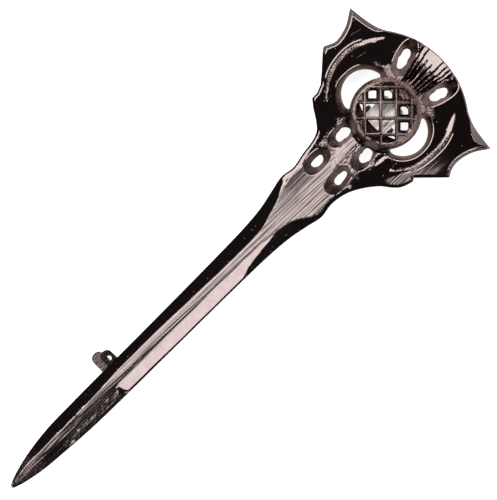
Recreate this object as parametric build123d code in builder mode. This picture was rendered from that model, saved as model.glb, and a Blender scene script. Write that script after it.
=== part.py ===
# A kilt pin: a plated casting, a thistle on a long faceted blade, with a hinged needle
# and a turning safety catch riveted to its back.
#
# Sizes are in millimetres. +Y runs along the pin from the blade's tip to the thistle, +X is
# the right-hand side seen from the front with the thistle up, and +Z points out of the face.
# The pin lies on its back on z = 0, with the origin under the middle of its length.

from build123d import *
import math
import os

os.makedirs("parts", exist_ok=True)

# The casting in plan
BLADE_LENGTH = 67.4         # tip to the two bumps at the thistle's neck
BLADE_WIDTH = 6.1           # just before the neck flares
NECK_LENGTH = 19.7          # bumps to the middle of the ball
NECK_WIDTH = 8.4            # at its waist, past the bumps
HEAD_WIDTH = 32.8           # over the two spikes of the crest
BALL_RADIUS = 5.9
CREST_RADIUS = 15.6         # the crest's outer edge, about the point its flutes run to
CREST_SETBACK = 2.7         # from the middle of the ball back to that point

# The casting in height
PLATE_THICKNESS = 2.2
BLADE_THICKNESS = 2.2
BLADE_EDGE = 0.9            # upright side of the blade under its facets
BEVEL_WIDTH = 0.7           # sloping band round the head, seen from the front
BEVEL_DEPTH = 0.9
NOTCH_ROUND = 0.5           # inner corner between the two barbs
SPIKE_ROUND = 1.5           # inner corner between the spike and the crest's edge
BALL_RISE = 2.0             # crown of the ball over the plate
BALL_WALL = 0.9
BALL_RIM = 0.85             # solid ring round the openwork

# Openwork of the ball: a square lattice that stands on its corners
LATTICE_PITCH = 2.64
LATTICE_RIB = 0.56
LATTICE_ROWS = 5            # rows of openings each way, before the rim cuts them off
LATTICE_SHIFT = 0.58        # nearest opening on the pin's axis, past the middle of the ball
LATTICE_MARGIN = 0.12       # between the openings and the wall of the hollow behind them
CREST_ROOT = 3.5            # past here, from the middle of the ball, the crest backs the lattice

# Openings of the plate
CRESCENT_WIDTH = 2.6
CRESCENT_LENGTH = 7.9
CRESCENT_LEDGE = 0.12       # plate left between the ball's foot and the opening
CRESCENT_INSET = 0.75       # how far the two horns reach in past the ball's side
CRESCENT_CORNER = 0.35
DRAFT_WIDTH = 0.6           # sloping wall of the crescents, seen from the front
LEAF_ANGLE = 20.3           # middle of each leaf, to the side of the pin's axis
LEAF_DISTANCE = 11.9
LEAF_LENGTH = 6.6
LEAF_WIDTH = 3.3
LEAF_HOLE_LENGTH = 3.3
LEAF_HOLE_WIDTH = 1.75

# Relief of the plate
FLUTE_COUNT = 7
FLUTE_PITCH = 3.9           # degrees
FLUTE_DEPTH = 0.45
FLUTE_LENGTH = 7.8
FLUTE_GROOVE = 0.9          # groove's width as a share of the flutes' pitch
FLUTE_START = 0.35          # groove's size at the root, as a share of its size at the edge
STEM_WIDTH = 2.1
STEM_LENGTH = 6.3
STEM_RISE = 0.25
RIM_RIB_WIDTH = 1.1
RIM_RIB_RISE = 0.3

# Hinge behind the ball
JOINT_SETBACK = 1.65        # rivet, from the middle of the ball towards the blade
JOINT_PLATE_WIDTH = 4.6
JOINT_PLATE_THICKNESS = 0.8
JOINT_TONGUE_WIDTH = 2.3
JOINT_PLATE_LENGTH = 8.0    # the wide stretch between the two tongues
EAR_GAP = 3.2
EAR_LENGTH = 3.4
EAR_CORNER = 0.9
RIVET_RADIUS = 0.55
RIVET_HEAD_RADIUS = 0.95
RIVET_HEAD_HEIGHT = 0.7
RIVET_HEAD_EDGE = 0.25

# Needle
NEEDLE_RADIUS = 0.6
NEEDLE_EYE_RADIUS = 1.3
NEEDLE_EYE_WIDTH = 2.4
NEEDLE_OVERHANG = 3.9       # point past the middle of the catch
NEEDLE_TAPER = 9.0
NEEDLE_POINT_RADIUS = 0.06

# Safety catch
CATCH_DISTANCE = 26.3       # middle of the housing's ring, from the blade's tip
HOUSING_LENGTH = 2.1
HOUSING_WALL = 0.75
HOUSING_MOUTH = 1.8
FOOT_WIDTH = 3.4
FOOT_THICKNESS = 0.7
FOOT_NECK_WIDTH = 2.4
EAR_TAB_REACH = 5.2         # from the ring's middle to the end of the pierced ear
EAR_TAB_THICKNESS = 0.6
EAR_TAB_HEIGHT = 0.85       # middle of the ear over the ring's middle
CHAIN_HOLE_RADIUS = 0.43
CHAIN_HOLE_REACH = 3.7
ROLLER_WALL = 0.6
ROLLER_MOUTH = 1.5
COLLAR_LENGTH = 1.2
COLLAR_RADIUS = 2.0
FLANGE_LENGTH = 0.35
FLANGE_RADIUS = 1.75
THUMB_REACH = 6.0
THUMB_LENGTH = 2.3
THUMB_THICKNESS = 0.8
THUMB_STEM_LENGTH = 1.1
THUMB_OVER_AXIS = 0.3       # top of the thumb tab over the roller's middle

# Pegs cast on the back and peened over the findings
PEG_RADIUS = 0.5
PEG_HEAD_RADIUS = 0.85
PEG_HEAD_HEIGHT = 0.45

# Clearances
SEAT_GAP = 0.05             # between pieces that are fastened together
HINGE_FIT = 0.05            # radial, needle's eye on the rivet
ROLLER_FIT = 0.08           # radial, roller in its housing
SIDE_GAP = 0.15             # endways, beside anything that turns
PASS_GAP = 0.15             # radial, needle inside the roller
LOBE_GAP = 0.3              # between the housing's ring and the thumb tab's lobe

# Half-outline of the blade. Columns: distance from the tip as a share of the blade's
# length, then half the width, half the ridge and the side's height as shares of those of
# the blade just before the neck.
RIDGE_WIDTH = 1.3
BLADE_SECTIONS = (
    (0.000, 0.110, 0.10, 0.60),
    (0.003, 0.180, 0.15, 0.65),
    (0.011, 0.235, 0.20, 0.70),
    (0.035, 0.360, 0.40, 0.80),
    (0.060, 0.485, 0.70, 0.90),
    (0.085, 0.590, 1.00, 1.00),
    (0.110, 0.680, 1.00, 1.00),
    (0.155, 0.765, 1.00, 1.00),
    (0.210, 0.835, 1.00, 1.00),
    (0.300, 0.870, 1.00, 1.00),
    (0.500, 0.890, 1.00, 1.00),
    (0.740, 0.950, 1.00, 1.00),
    (0.840, 1.000, 1.00, 1.00),
    (0.890, 1.080, 1.55, 1.05),
    (0.936, 1.250, 3.20, 1.15),
    (0.975, 1.430, 4.90, 1.35),
)
TIP_THICKNESS = 0.62        # blade's height at the very tip, as a share of its thickness
TIP_RAMP = 0.085            # share of the blade's length over which it gains its full height

# Half-outline of the head, about the middle of the ball. Columns: x as a share of half
# the head's width, y as a share of the neck's length before the ball, or of the crest's
# reach past it.
SHOULDER = (0.286, -1.000)
WAIST_END = (0.305, -0.635)
FLARE_MIDDLE = (0.416, -0.467)
FIRST_BARB = (0.644, -0.338)
NOTCH = (0.659, -0.225)
SECOND_BARB = (0.906, 0.000)
DIP = (0.852, 0.216)
SPIKE = (1.000, 0.627)
SPIKE_HOLLOW = (0.822, 0.660)
CREST_START = 39.5          # degrees round the crest's edge to where the spike begins
WAIST = -0.870              # where the neck is narrowest, as a share of its length

# Raised ribs round the head. Columns: side; distance of the rib's middle past the
# crescent's outer edge; then where it starts and ends, x as a share of half the head's
# width, y as a share of the ball's radius.
RIM_RIBS = (
    (-1, 3.1, 0.496, -1.00, 0.521, 1.56),
    (1, 1.9, 0.421, -1.08, 0.500, 1.50),
)

# Four drafted openings beside the stem. Columns: x as a share of the neck's width and y
# as a share of its length, about the middle of the ball; then length and width of the
# mouth at the front and of the throat at the back, as shares of the same two sizes.
STEM_OPENINGS = (
    (0.268, -0.672, 0.269, 0.338, 0.135, 0.200),
    (0.317, -0.373, 0.238, 0.375, 0.135, 0.195),
)

# Sizes that follow from the ones above
CREST_REACH = CREST_RADIUS - CREST_SETBACK
LENGTH = BLADE_LENGTH + NECK_LENGTH + CREST_REACH
TIP_Y = -LENGTH / 2
BALL_Y = TIP_Y + BLADE_LENGTH + NECK_LENGTH
RIVET_Y = BALL_Y - JOINT_SETBACK
CATCH_Y = TIP_Y + CATCH_DISTANCE
NEEDLE_LENGTH = RIVET_Y - CATCH_Y + NEEDLE_OVERHANG
HALF_HEAD = HEAD_WIDTH / 2

ROLLER_BORE = NEEDLE_RADIUS + PASS_GAP
ROLLER_RADIUS = ROLLER_BORE + ROLLER_WALL
HOUSING_BORE = ROLLER_RADIUS + ROLLER_FIT
HOUSING_RADIUS = HOUSING_BORE + HOUSING_WALL
AXIS_Z = math.sqrt(HOUSING_RADIUS**2 - (HOUSING_MOUTH / 2) ** 2)
FOOT_Z = AXIS_Z + max(HOUSING_RADIUS, COLLAR_RADIUS + SIDE_GAP)
BACK_Z = FOOT_Z + FOOT_THICKNESS + SEAT_GAP
FACE_Z = BACK_Z + PLATE_THICKNESS
WELL_RADIUS = BALL_RADIUS - BALL_RIM
JOINT_PLATE_Z = BACK_Z - SEAT_GAP - JOINT_PLATE_THICKNESS
CRESCENT_REACH = BALL_RADIUS + CRESCENT_WIDTH
RING_START = CATCH_Y - HOUSING_LENGTH / 2
COLLAR_START = RING_START - SIDE_GAP - COLLAR_LENGTH
FLANGE_END = RING_START + HOUSING_LENGTH + SIDE_GAP + FLANGE_LENGTH
FOOT_PEGS = (
    COLLAR_START - SIDE_GAP - PEG_HEAD_RADIUS,
    FLANGE_END + SIDE_GAP + PEG_HEAD_RADIUS,
)
JOINT_PEGS = (
    BALL_Y - WELL_RADIUS - 2 * PEG_RADIUS,
    BALL_Y + CREST_ROOT + 2 * PEG_RADIUS,
)


def upright_plane(y):
    """A plane across the pin, whose own axes are +X and +Z."""
    return Plane(origin=(0, y, 0), x_dir=(1, 0, 0), z_dir=(0, -1, 0))


def side_plane(x):
    """A plane along the pin, whose own axes are +Y and +Z."""
    return Plane(origin=(x, 0, 0), x_dir=(0, 1, 0), z_dir=(1, 0, 0))


def ball_plane(height, x=0.0, y=0.0, turn=0.0):
    """A level plane, set off from the middle of the ball and turned about the vertical."""
    return Plane(origin=(x, BALL_Y + y, height)).rotated((0, 0, turn))


def on_head(share):
    """A point of the head's half-outline, about the middle of the ball."""
    across, along = share
    return (across * HALF_HEAD, along * (NECK_LENGTH if along < 0 else CREST_REACH))


def on_crest(angle):
    """A point of the crest's outer edge, at this angle from the pin's axis."""
    turn = math.radians(angle)
    return (CREST_RADIUS * math.sin(turn), CREST_RADIUS * math.cos(turn) - CREST_SETBACK)


def corners_at(sketch, place):
    """The two corners of the head's outline at a point of its half-outline."""
    x, y = place
    return sketch.vertices().sort_by(lambda v: math.hypot(abs(v.X) - x, v.Y - y))[:2]


def blade_section(y, half, ridge_half, side, top):
    """One section of the blade: flat back, upright sides, two facets and a narrow ridge."""
    with BuildSketch(upright_plane(y)) as section:
        with BuildLine():
            Polyline(
                (-half, BACK_Z), (-half, BACK_Z + side), (-ridge_half, BACK_Z + top),
                (ridge_half, BACK_Z + top), (half, BACK_Z + side), (half, BACK_Z),
                close=True,
            )
        make_face()
    return section.sketch


def drafted_hole(mouth, throat, x, y, turn=0.0):
    """A cut through the plate that narrows from an oval mouth to an oval throat."""
    with BuildPart() as cut:
        for (length, width), height in ((mouth, FACE_Z), (throat, BACK_Z)):
            with BuildSketch(ball_plane(height, x, y, turn)):
                Ellipse(width / 2, length / 2)
        loft()
    return cut.part


def cap_profile(base_radius, base_z, crown_z, foot_z):
    """Half the upright section of a round cap on a straight foot."""
    rise = crown_z - base_z
    radius = (base_radius**2 + rise**2) / (2 * rise)
    reach = math.degrees(math.asin(base_radius / radius))
    with BuildSketch(upright_plane(BALL_Y)) as profile:
        with BuildLine():
            Polyline((base_radius, base_z), (base_radius, foot_z), (0, foot_z), (0, crown_z))
            CenterArc((0, crown_z - radius), radius, 90 - reach, reach)
        make_face()
    return profile.sketch


def peg(y, plate_thickness):
    """A peg on the casting's back whose end is peened over a plate of this thickness."""
    neck = plate_thickness + 2 * SEAT_GAP
    with BuildPart() as shape:
        with BuildSketch(Plane(origin=(0, y, BACK_Z))):
            Circle(PEG_RADIUS)
        extrude(amount=-neck)
        with BuildSketch(Plane(origin=(0, y, BACK_Z - neck))):
            Circle(PEG_HEAD_RADIUS)
        extrude(amount=-PEG_HEAD_HEIGHT)
        fillet(shape.edges().group_by(Axis.Z)[0], PEG_HEAD_HEIGHT / 2)
    return shape.part


# The hollow under the ball, open at the back and closed off at the crest's root
ball_axis = Axis((0, BALL_Y, 0), (0, 0, 1))
with BuildPart() as ball_hollow:
    add(cap_profile(WELL_RADIUS, FACE_Z, FACE_Z + BALL_RISE - BALL_WALL, BACK_Z - BALL_WALL))
    revolve(axis=ball_axis)
    split(bisect_by=upright_plane(BALL_Y + CREST_ROOT), keep=Keep.TOP)

# The openwork's openings, all in one sketch, kept inside the ball's rim
half_rows = LATTICE_ROWS // 2
cells = [
    ((i - j) * LATTICE_PITCH / math.sqrt(2), LATTICE_SHIFT + (i + j) * LATTICE_PITCH / math.sqrt(2))
    for i in range(-half_rows, half_rows + 1)
    for j in range(-half_rows, half_rows + 1)
]
cells = [(x, y) for x, y in cells if math.hypot(x, y) < WELL_RADIUS and y < CREST_ROOT]
with BuildSketch(ball_plane(BACK_Z)) as lattice:
    with Locations(*cells):
        Rectangle(LATTICE_PITCH - LATTICE_RIB, LATTICE_PITCH - LATTICE_RIB, rotation=45)
    Circle(WELL_RADIUS - LATTICE_MARGIN, mode=Mode.INTERSECT)
    with Locations((0, CREST_ROOT - LATTICE_MARGIN)):
        Rectangle(2 * BALL_RADIUS, BALL_RADIUS, align=(Align.CENTER, Align.MIN), mode=Mode.SUBTRACT)

# The two crescents beside the ball, as they are at the back
horn = (BALL_RADIUS - CRESCENT_INSET, CRESCENT_LENGTH / 2)
with BuildSketch(ball_plane(BACK_Z)) as crescents:
    with BuildLine():
        ThreePointArc(horn, (CRESCENT_REACH, 0), (horn[0], -horn[1]))
        Line((horn[0], -horn[1]), horn)
    make_face()
    Circle(BALL_RADIUS + CRESCENT_LEDGE, mode=Mode.SUBTRACT)
    fillet(crescents.vertices(), CRESCENT_CORNER)
    mirror(about=Plane.YZ)
draft = math.degrees(math.atan(DRAFT_WIDTH / PLATE_THICKNESS))

# One groove between two flutes of the crest, before it is turned to its place
groove_half = CREST_RADIUS * math.tan(math.radians(FLUTE_PITCH / 2)) * FLUTE_GROOVE
with BuildPart() as groove:
    for distance, size in ((CREST_RADIUS - FLUTE_LENGTH, FLUTE_START), (CREST_RADIUS + BEVEL_WIDTH, 1)):
        with BuildSketch(upright_plane(BALL_Y - CREST_SETBACK + distance)):
            with BuildLine():
                Polyline(
                    (-2 * groove_half * size, FACE_Z + FLUTE_DEPTH * size),
                    (0, FACE_Z - FLUTE_DEPTH * size),
                    (2 * groove_half * size, FACE_Z + FLUTE_DEPTH * size),
                    close=True,
                )
            make_face()
    loft()

# Sections of the blade, the last of which is the end of the head's plate
blade_sections = [
    blade_section(
        TIP_Y + along * BLADE_LENGTH,
        width * BLADE_WIDTH / 2,
        ridge * RIDGE_WIDTH / 2,
        edge * BLADE_EDGE,
        BLADE_THICKNESS * (TIP_THICKNESS + (1 - TIP_THICKNESS) * min(along / TIP_RAMP, 1)),
    )
    for along, width, ridge, edge in BLADE_SECTIONS
]
shoulder_half = on_head(SHOULDER)[0]
blade_sections.append(
    blade_section(
        TIP_Y + BLADE_LENGTH, shoulder_half, shoulder_half - BEVEL_WIDTH,
        PLATE_THICKNESS - BEVEL_DEPTH, PLATE_THICKNESS,
    )
)
neck_waist = (NECK_WIDTH / 2, WAIST * NECK_LENGTH)
head_start = -NECK_LENGTH - BEVEL_WIDTH
bevel_angle = math.degrees(math.atan(BEVEL_WIDTH / BEVEL_DEPTH))

with BuildPart() as pin_body:
    # Head plate, with a sloping band all round
    with BuildSketch(ball_plane(BACK_Z)) as head_outline:
        with BuildLine() as half_outline:
            Polyline((0, head_start), (shoulder_half, head_start), on_head(SHOULDER))
            ThreePointArc(on_head(SHOULDER), neck_waist, on_head(WAIST_END))
            ThreePointArc(on_head(WAIST_END), on_head(FLARE_MIDDLE), on_head(FIRST_BARB))
            Polyline(on_head(FIRST_BARB), on_head(NOTCH), on_head(SECOND_BARB))
            ThreePointArc(on_head(SECOND_BARB), on_head(DIP), on_head(SPIKE))
            ThreePointArc(on_head(SPIKE), on_head(SPIKE_HOLLOW), on_crest(CREST_START))
            ThreePointArc(on_crest(CREST_START), on_crest(CREST_START / 2), on_crest(0))
            mirror(half_outline.line, about=Plane.YZ)
        make_face()
        fillet(corners_at(head_outline, on_head(NOTCH)), NOTCH_ROUND)
        fillet(corners_at(head_outline, on_crest(CREST_START)), SPIKE_ROUND)
    extrude(amount=PLATE_THICKNESS - BEVEL_DEPTH)
    extrude(pin_body.faces().sort_by(Axis.Z)[-1], amount=BEVEL_DEPTH, taper=bevel_angle)

    # Openings of the plate
    extrude(crescents.sketch, amount=PLATE_THICKNESS, taper=-draft, mode=Mode.SUBTRACT)
    for side in (-1, 1):
        for across, along, mouth_l, mouth_w, throat_l, throat_w in STEM_OPENINGS:
            add(
                drafted_hole(
                    (mouth_l * NECK_LENGTH, mouth_w * NECK_WIDTH),
                    (throat_l * NECK_LENGTH, throat_w * NECK_WIDTH),
                    side * across * NECK_WIDTH, along * NECK_LENGTH,
                ),
                mode=Mode.SUBTRACT,
            )
        turn = math.radians(LEAF_ANGLE)
        add(
            drafted_hole(
                (LEAF_LENGTH, LEAF_WIDTH), (LEAF_HOLE_LENGTH, LEAF_HOLE_WIDTH),
                side * LEAF_DISTANCE * math.sin(turn), LEAF_DISTANCE * math.cos(turn) - CREST_SETBACK,
                -side * LEAF_ANGLE,
            ),
            mode=Mode.SUBTRACT,
        )

    # Ball, its hollow and its openwork
    add(cap_profile(BALL_RADIUS, FACE_Z, FACE_Z + BALL_RISE, BACK_Z))
    revolve(axis=ball_axis)
    add(ball_hollow.part, mode=Mode.SUBTRACT)
    extrude(lattice.sketch, amount=PLATE_THICKNESS + 2 * BALL_RISE, mode=Mode.SUBTRACT)

    # Flutes of the crest
    fan_axis = Axis((0, BALL_Y - CREST_SETBACK, 0), (0, 0, 1))
    for row in range(FLUTE_COUNT):
        angle = (row - (FLUTE_COUNT - 1) / 2) * FLUTE_PITCH
        add(groove.part.rotate(fan_axis, angle), mode=Mode.SUBTRACT)

    # Stem below the ball, and the ribs round the head
    with BuildSketch(ball_plane(FACE_Z - BEVEL_WIDTH, 0, BALL_RIM - BALL_RADIUS)):
        Rectangle(STEM_WIDTH, STEM_LENGTH, align=(Align.CENTER, Align.MAX))
    extrude(amount=BEVEL_WIDTH + STEM_RISE)
    for side, margin, start_x, start_y, end_x, end_y in RIM_RIBS:
        start = (side * start_x * HALF_HEAD, start_y * BALL_RADIUS)
        end = (side * end_x * HALF_HEAD, end_y * BALL_RADIUS)
        middle = CRESCENT_REACH + margin
        with BuildSketch(ball_plane(FACE_Z - RIM_RIB_RISE)):
            with BuildLine():
                ThreePointArc(start, (side * (middle + RIM_RIB_WIDTH / 2), 0), end)
                ThreePointArc(end, (side * (middle - RIM_RIB_WIDTH / 2), 0), start)
            make_face()
        extrude(amount=2 * RIM_RIB_RISE)

    # Blade
    for start, end in zip(blade_sections, blade_sections[1:]):
        loft([start, end], ruled=True)

    # Pegs on the back
    for y in JOINT_PEGS:
        add(peg(y, JOINT_PLATE_THICKNESS))
    for y in FOOT_PEGS:
        add(peg(y, FOOT_THICKNESS))
pin_body.part.label = "pin_body"

with BuildPart() as joint_plate:
    with BuildSketch(ball_plane(JOINT_PLATE_Z, 0, -JOINT_SETBACK)):
        RectangleRounded(JOINT_PLATE_WIDTH, JOINT_PLATE_LENGTH, EAR_CORNER)
    extrude(amount=JOINT_PLATE_THICKNESS)
    with BuildSketch(ball_plane(JOINT_PLATE_Z, 0, (JOINT_PEGS[0] + JOINT_PEGS[1]) / 2 - BALL_Y)):
        SlotCenterToCenter(JOINT_PEGS[1] - JOINT_PEGS[0], JOINT_TONGUE_WIDTH, rotation=90)
    extrude(amount=JOINT_PLATE_THICKNESS)
    for x in (-JOINT_PLATE_WIDTH / 2, EAR_GAP / 2):
        with BuildSketch(side_plane(x)):
            with BuildLine():
                Polyline(
                    (RIVET_Y - EAR_LENGTH / 2, BACK_Z - SEAT_GAP), (RIVET_Y - EAR_LENGTH / 2, 0),
                    (RIVET_Y + EAR_LENGTH / 2, 0), (RIVET_Y + EAR_LENGTH / 2, BACK_Z - SEAT_GAP),
                    close=True,
                )
            ear = make_face()
            fillet(ear.vertices().group_by(Axis.Z)[0], EAR_CORNER)
        extrude(amount=(JOINT_PLATE_WIDTH - EAR_GAP) / 2)
    with BuildSketch(side_plane(-JOINT_PLATE_WIDTH)):
        with Locations((RIVET_Y, AXIS_Z)):
            Circle(RIVET_RADIUS + SEAT_GAP)
    extrude(amount=2 * JOINT_PLATE_WIDTH, mode=Mode.SUBTRACT)
    with BuildSketch(Plane.XY):
        with Locations(*[(0, y) for y in JOINT_PEGS]):
            Circle(PEG_RADIUS + SEAT_GAP)
    extrude(amount=BACK_Z, mode=Mode.SUBTRACT)
joint_plate.part.label = "joint_plate"

with BuildPart() as hinge_rivet:
    head_x = JOINT_PLATE_WIDTH / 2 + SEAT_GAP
    with BuildSketch(side_plane(-head_x)):
        with Locations((RIVET_Y, AXIS_Z)):
            Circle(RIVET_RADIUS)
    extrude(amount=2 * head_x)
    for x, direction in ((-head_x, -1), (head_x, 1)):
        with BuildSketch(side_plane(x)):
            with Locations((RIVET_Y, AXIS_Z)):
                Circle(RIVET_HEAD_RADIUS)
        extrude(amount=direction * RIVET_HEAD_HEIGHT)
    ends = hinge_rivet.faces().sort_by(Axis.X)
    fillet(ends[0].edges() + ends[-1].edges(), RIVET_HEAD_EDGE)
hinge_rivet.part.label = "hinge_rivet"

with BuildPart() as needle:
    with BuildSketch(side_plane(-NEEDLE_EYE_WIDTH / 2)):
        with Locations((RIVET_Y, AXIS_Z)):
            Circle(NEEDLE_EYE_RADIUS)
    extrude(amount=NEEDLE_EYE_WIDTH)
    fillet(needle.edges(), NEEDLE_EYE_RADIUS / 4)
    with BuildSketch(Plane(origin=(0, RIVET_Y, AXIS_Z), x_dir=(1, 0, 0), z_dir=(0, 0, 1))):
        with BuildLine():
            Polyline(
                (0, 0), (NEEDLE_RADIUS, 0), (NEEDLE_RADIUS, NEEDLE_TAPER - NEEDLE_LENGTH),
                (NEEDLE_POINT_RADIUS, -NEEDLE_LENGTH), (0, -NEEDLE_LENGTH), close=True,
            )
        make_face()
    revolve(axis=Axis((0, RIVET_Y, AXIS_Z), (0, 1, 0)))
    with BuildSketch(side_plane(-NEEDLE_EYE_WIDTH)):
        with Locations((RIVET_Y, AXIS_Z)):
            Circle(RIVET_RADIUS + HINGE_FIT)
    extrude(amount=2 * NEEDLE_EYE_WIDTH, mode=Mode.SUBTRACT)
needle.part.label = "needle"

with BuildPart() as catch_housing:
    # Ring, its short neck and the pierced ear
    with BuildSketch(upright_plane(RING_START + HOUSING_LENGTH)):
        with Locations((0, AXIS_Z)):
            Circle(HOUSING_RADIUS)
        with Locations((0, FOOT_Z)):
            Rectangle(FOOT_NECK_WIDTH, HOUSING_WALL, align=(Align.CENTER, Align.CENTER))
        with Locations((-HOUSING_RADIUS + HOUSING_WALL / 2, AXIS_Z + EAR_TAB_HEIGHT)):
            Rectangle(
                EAR_TAB_REACH - HOUSING_RADIUS + HOUSING_WALL / 2, EAR_TAB_THICKNESS,
                align=(Align.MAX, Align.CENTER),
            )
        with Locations((0, AXIS_Z)):
            Circle(HOUSING_BORE, mode=Mode.SUBTRACT)
            Rectangle(
                HOUSING_MOUTH, 2 * HOUSING_RADIUS, align=(Align.CENTER, Align.MAX), mode=Mode.SUBTRACT
            )
    extrude(amount=HOUSING_LENGTH)
    ear_corners = catch_housing.edges().filter_by(Axis.Z).group_by(Axis.X)[0]
    fillet(ear_corners, HOUSING_LENGTH / 2 - SEAT_GAP)
    with BuildSketch(Plane(origin=(-CHAIN_HOLE_REACH, CATCH_Y, AXIS_Z))):
        Circle(CHAIN_HOLE_RADIUS)
    extrude(amount=HOUSING_RADIUS, mode=Mode.SUBTRACT)
    # Foot, with a hole for each peg
    with BuildSketch(Plane(origin=(0, (FOOT_PEGS[0] + FOOT_PEGS[1]) / 2, FOOT_Z))):
        SlotCenterToCenter(FOOT_PEGS[1] - FOOT_PEGS[0], FOOT_WIDTH, rotation=90)
    extrude(amount=FOOT_THICKNESS)
    with BuildSketch(Plane.XY.offset(FOOT_Z)):
        with Locations(*[(0, y) for y in FOOT_PEGS]):
            Circle(PEG_RADIUS + SEAT_GAP)
    extrude(amount=FOOT_THICKNESS, mode=Mode.SUBTRACT)
catch_housing.part.label = "catch_housing"

with BuildPart() as catch_roller:
    roller_end = RING_START + HOUSING_LENGTH + SIDE_GAP
    for radius, start, end in (
        (ROLLER_RADIUS, COLLAR_START, roller_end + FLANGE_LENGTH),
        (COLLAR_RADIUS, COLLAR_START, COLLAR_START + COLLAR_LENGTH),
        (FLANGE_RADIUS, roller_end, roller_end + FLANGE_LENGTH),
    ):
        with BuildSketch(upright_plane(end)):
            with Locations((0, AXIS_Z)):
                Circle(radius)
        extrude(amount=end - start)
    # Thumb tab: a stem out of the collar, then the wider lobe beside the housing
    thumb_z = AXIS_Z + THUMB_OVER_AXIS - THUMB_THICKNESS
    lobe_width = THUMB_REACH - HOUSING_RADIUS - LOBE_GAP
    with BuildSketch(Plane(origin=(-THUMB_REACH, COLLAR_START, thumb_z))) as lobe:
        Rectangle(lobe_width, THUMB_LENGTH, align=(Align.MIN, Align.MIN))
        fillet(lobe.vertices().group_by(Axis.X)[0], THUMB_LENGTH / 2 - SEAT_GAP)
        with Locations((THUMB_LENGTH / 2, 0)):
            Rectangle(
                THUMB_REACH - THUMB_LENGTH / 2 - ROLLER_RADIUS, THUMB_STEM_LENGTH,
                align=(Align.MIN, Align.MIN),
            )
    extrude(amount=THUMB_THICKNESS)
    # Bore and slot for the needle
    with BuildSketch(upright_plane(roller_end + COLLAR_LENGTH)):
        with Locations((0, AXIS_Z)):
            Circle(ROLLER_BORE)
            Rectangle(ROLLER_MOUTH, 2 * COLLAR_RADIUS, align=(Align.CENTER, Align.MAX))
    extrude(amount=roller_end - COLLAR_START + 2 * COLLAR_LENGTH, mode=Mode.SUBTRACT)
catch_roller.part.label = "catch_roller"

for piece in (pin_body, joint_plate, hinge_rivet, needle, catch_housing, catch_roller):
    export_step(piece.part, f"parts/{piece.part.label}.step")
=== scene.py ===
# A kilt pin on a light table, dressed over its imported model.
#
# Blender works in metres. The sizes below are millimetres in the model's own frame: +Y runs
# along the pin from the blade's tip to the thistle, +X is the right-hand side seen from the
# front, +Z points out of the face, and the back rests on z = 0.

import math

import bpy
import numpy as np
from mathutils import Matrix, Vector, noise
from mathutils.geometry import delaunay_2d_cdt
from mathutils.kdtree import KDTree


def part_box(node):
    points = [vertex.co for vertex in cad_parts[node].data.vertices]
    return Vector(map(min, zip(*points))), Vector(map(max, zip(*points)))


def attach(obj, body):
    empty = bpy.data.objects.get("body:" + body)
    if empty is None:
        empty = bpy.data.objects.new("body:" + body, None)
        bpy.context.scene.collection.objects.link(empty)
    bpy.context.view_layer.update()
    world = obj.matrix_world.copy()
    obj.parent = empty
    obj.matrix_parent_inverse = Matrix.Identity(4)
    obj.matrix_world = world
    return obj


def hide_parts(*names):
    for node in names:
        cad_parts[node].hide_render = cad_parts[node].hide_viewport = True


bl_info = {
    "name": "Kilt pin",
    "version": (1, 0, 0),
    "blender": (4, 5, 0),
    "location": "View3D > Sidebar > Kilt pin",
    "description": "Builds a thistle kilt pin with its finishes, lights and camera",
    "category": "Object",
}

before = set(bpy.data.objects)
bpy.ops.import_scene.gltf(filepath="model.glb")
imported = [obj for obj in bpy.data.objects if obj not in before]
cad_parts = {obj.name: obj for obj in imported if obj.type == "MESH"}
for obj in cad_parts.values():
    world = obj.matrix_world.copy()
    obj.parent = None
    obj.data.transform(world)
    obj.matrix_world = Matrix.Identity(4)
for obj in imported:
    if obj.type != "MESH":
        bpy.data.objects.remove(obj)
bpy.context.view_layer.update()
MM = 0.001

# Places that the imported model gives
BODY_LOW, BODY_HIGH = (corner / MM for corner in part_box("pin_body"))
TIP_Y = BODY_LOW.y
CREST_Y = BODY_HIGH.y
SEAT_GAP = 0.05
BACK_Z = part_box("joint_plate")[1].z / MM + SEAT_GAP

# Casting: heights
PLATE_THICKNESS = 2.2
FACE_Z = BACK_Z + PLATE_THICKNESS
TIP_DROP = 1.25             # blade's top at its tip, under its full height
TIP_RAMP = 13.0             # distance over which the tip gains its full height

# Casting: head, about the middle of the ball
CREST_RADIUS = 15.6
CREST_SETBACK = 2.7         # from the middle of the ball back to the point the flutes run to
BALL_Y = CREST_Y - CREST_RADIUS + CREST_SETBACK
BALL_RADIUS = 5.9
BALL_RISE = 2.0
BALL_WALL = 0.9
WELL_RADIUS = 5.05          # of the hollow behind the openwork
CREST_ROOT = 3.5            # past here the crest backs the openwork

# Blade's outline. Columns: distance from the tip, half-width to the left and to the right.
BLADE_EDGES = (
    (0.25, 0.36, 0.30),
    (0.75, 0.62, 0.50),
    (2.40, 1.22, 0.99),
    (5.70, 2.02, 1.61),
    (10.6, 2.68, 2.05),
    (17.2, 2.84, 2.46),
    (33.6, 2.87, 2.68),
    (50.0, 2.99, 2.84),
    (57.4, 3.16, 3.04),
    (61.5, 3.52, 3.40),
    (64.8, 4.20, 4.03),
)
NECK_EDGES = ((67.6, 4.76, 4.60), (70.5, 4.45, 4.30))     # the same where the neck begins

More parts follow.
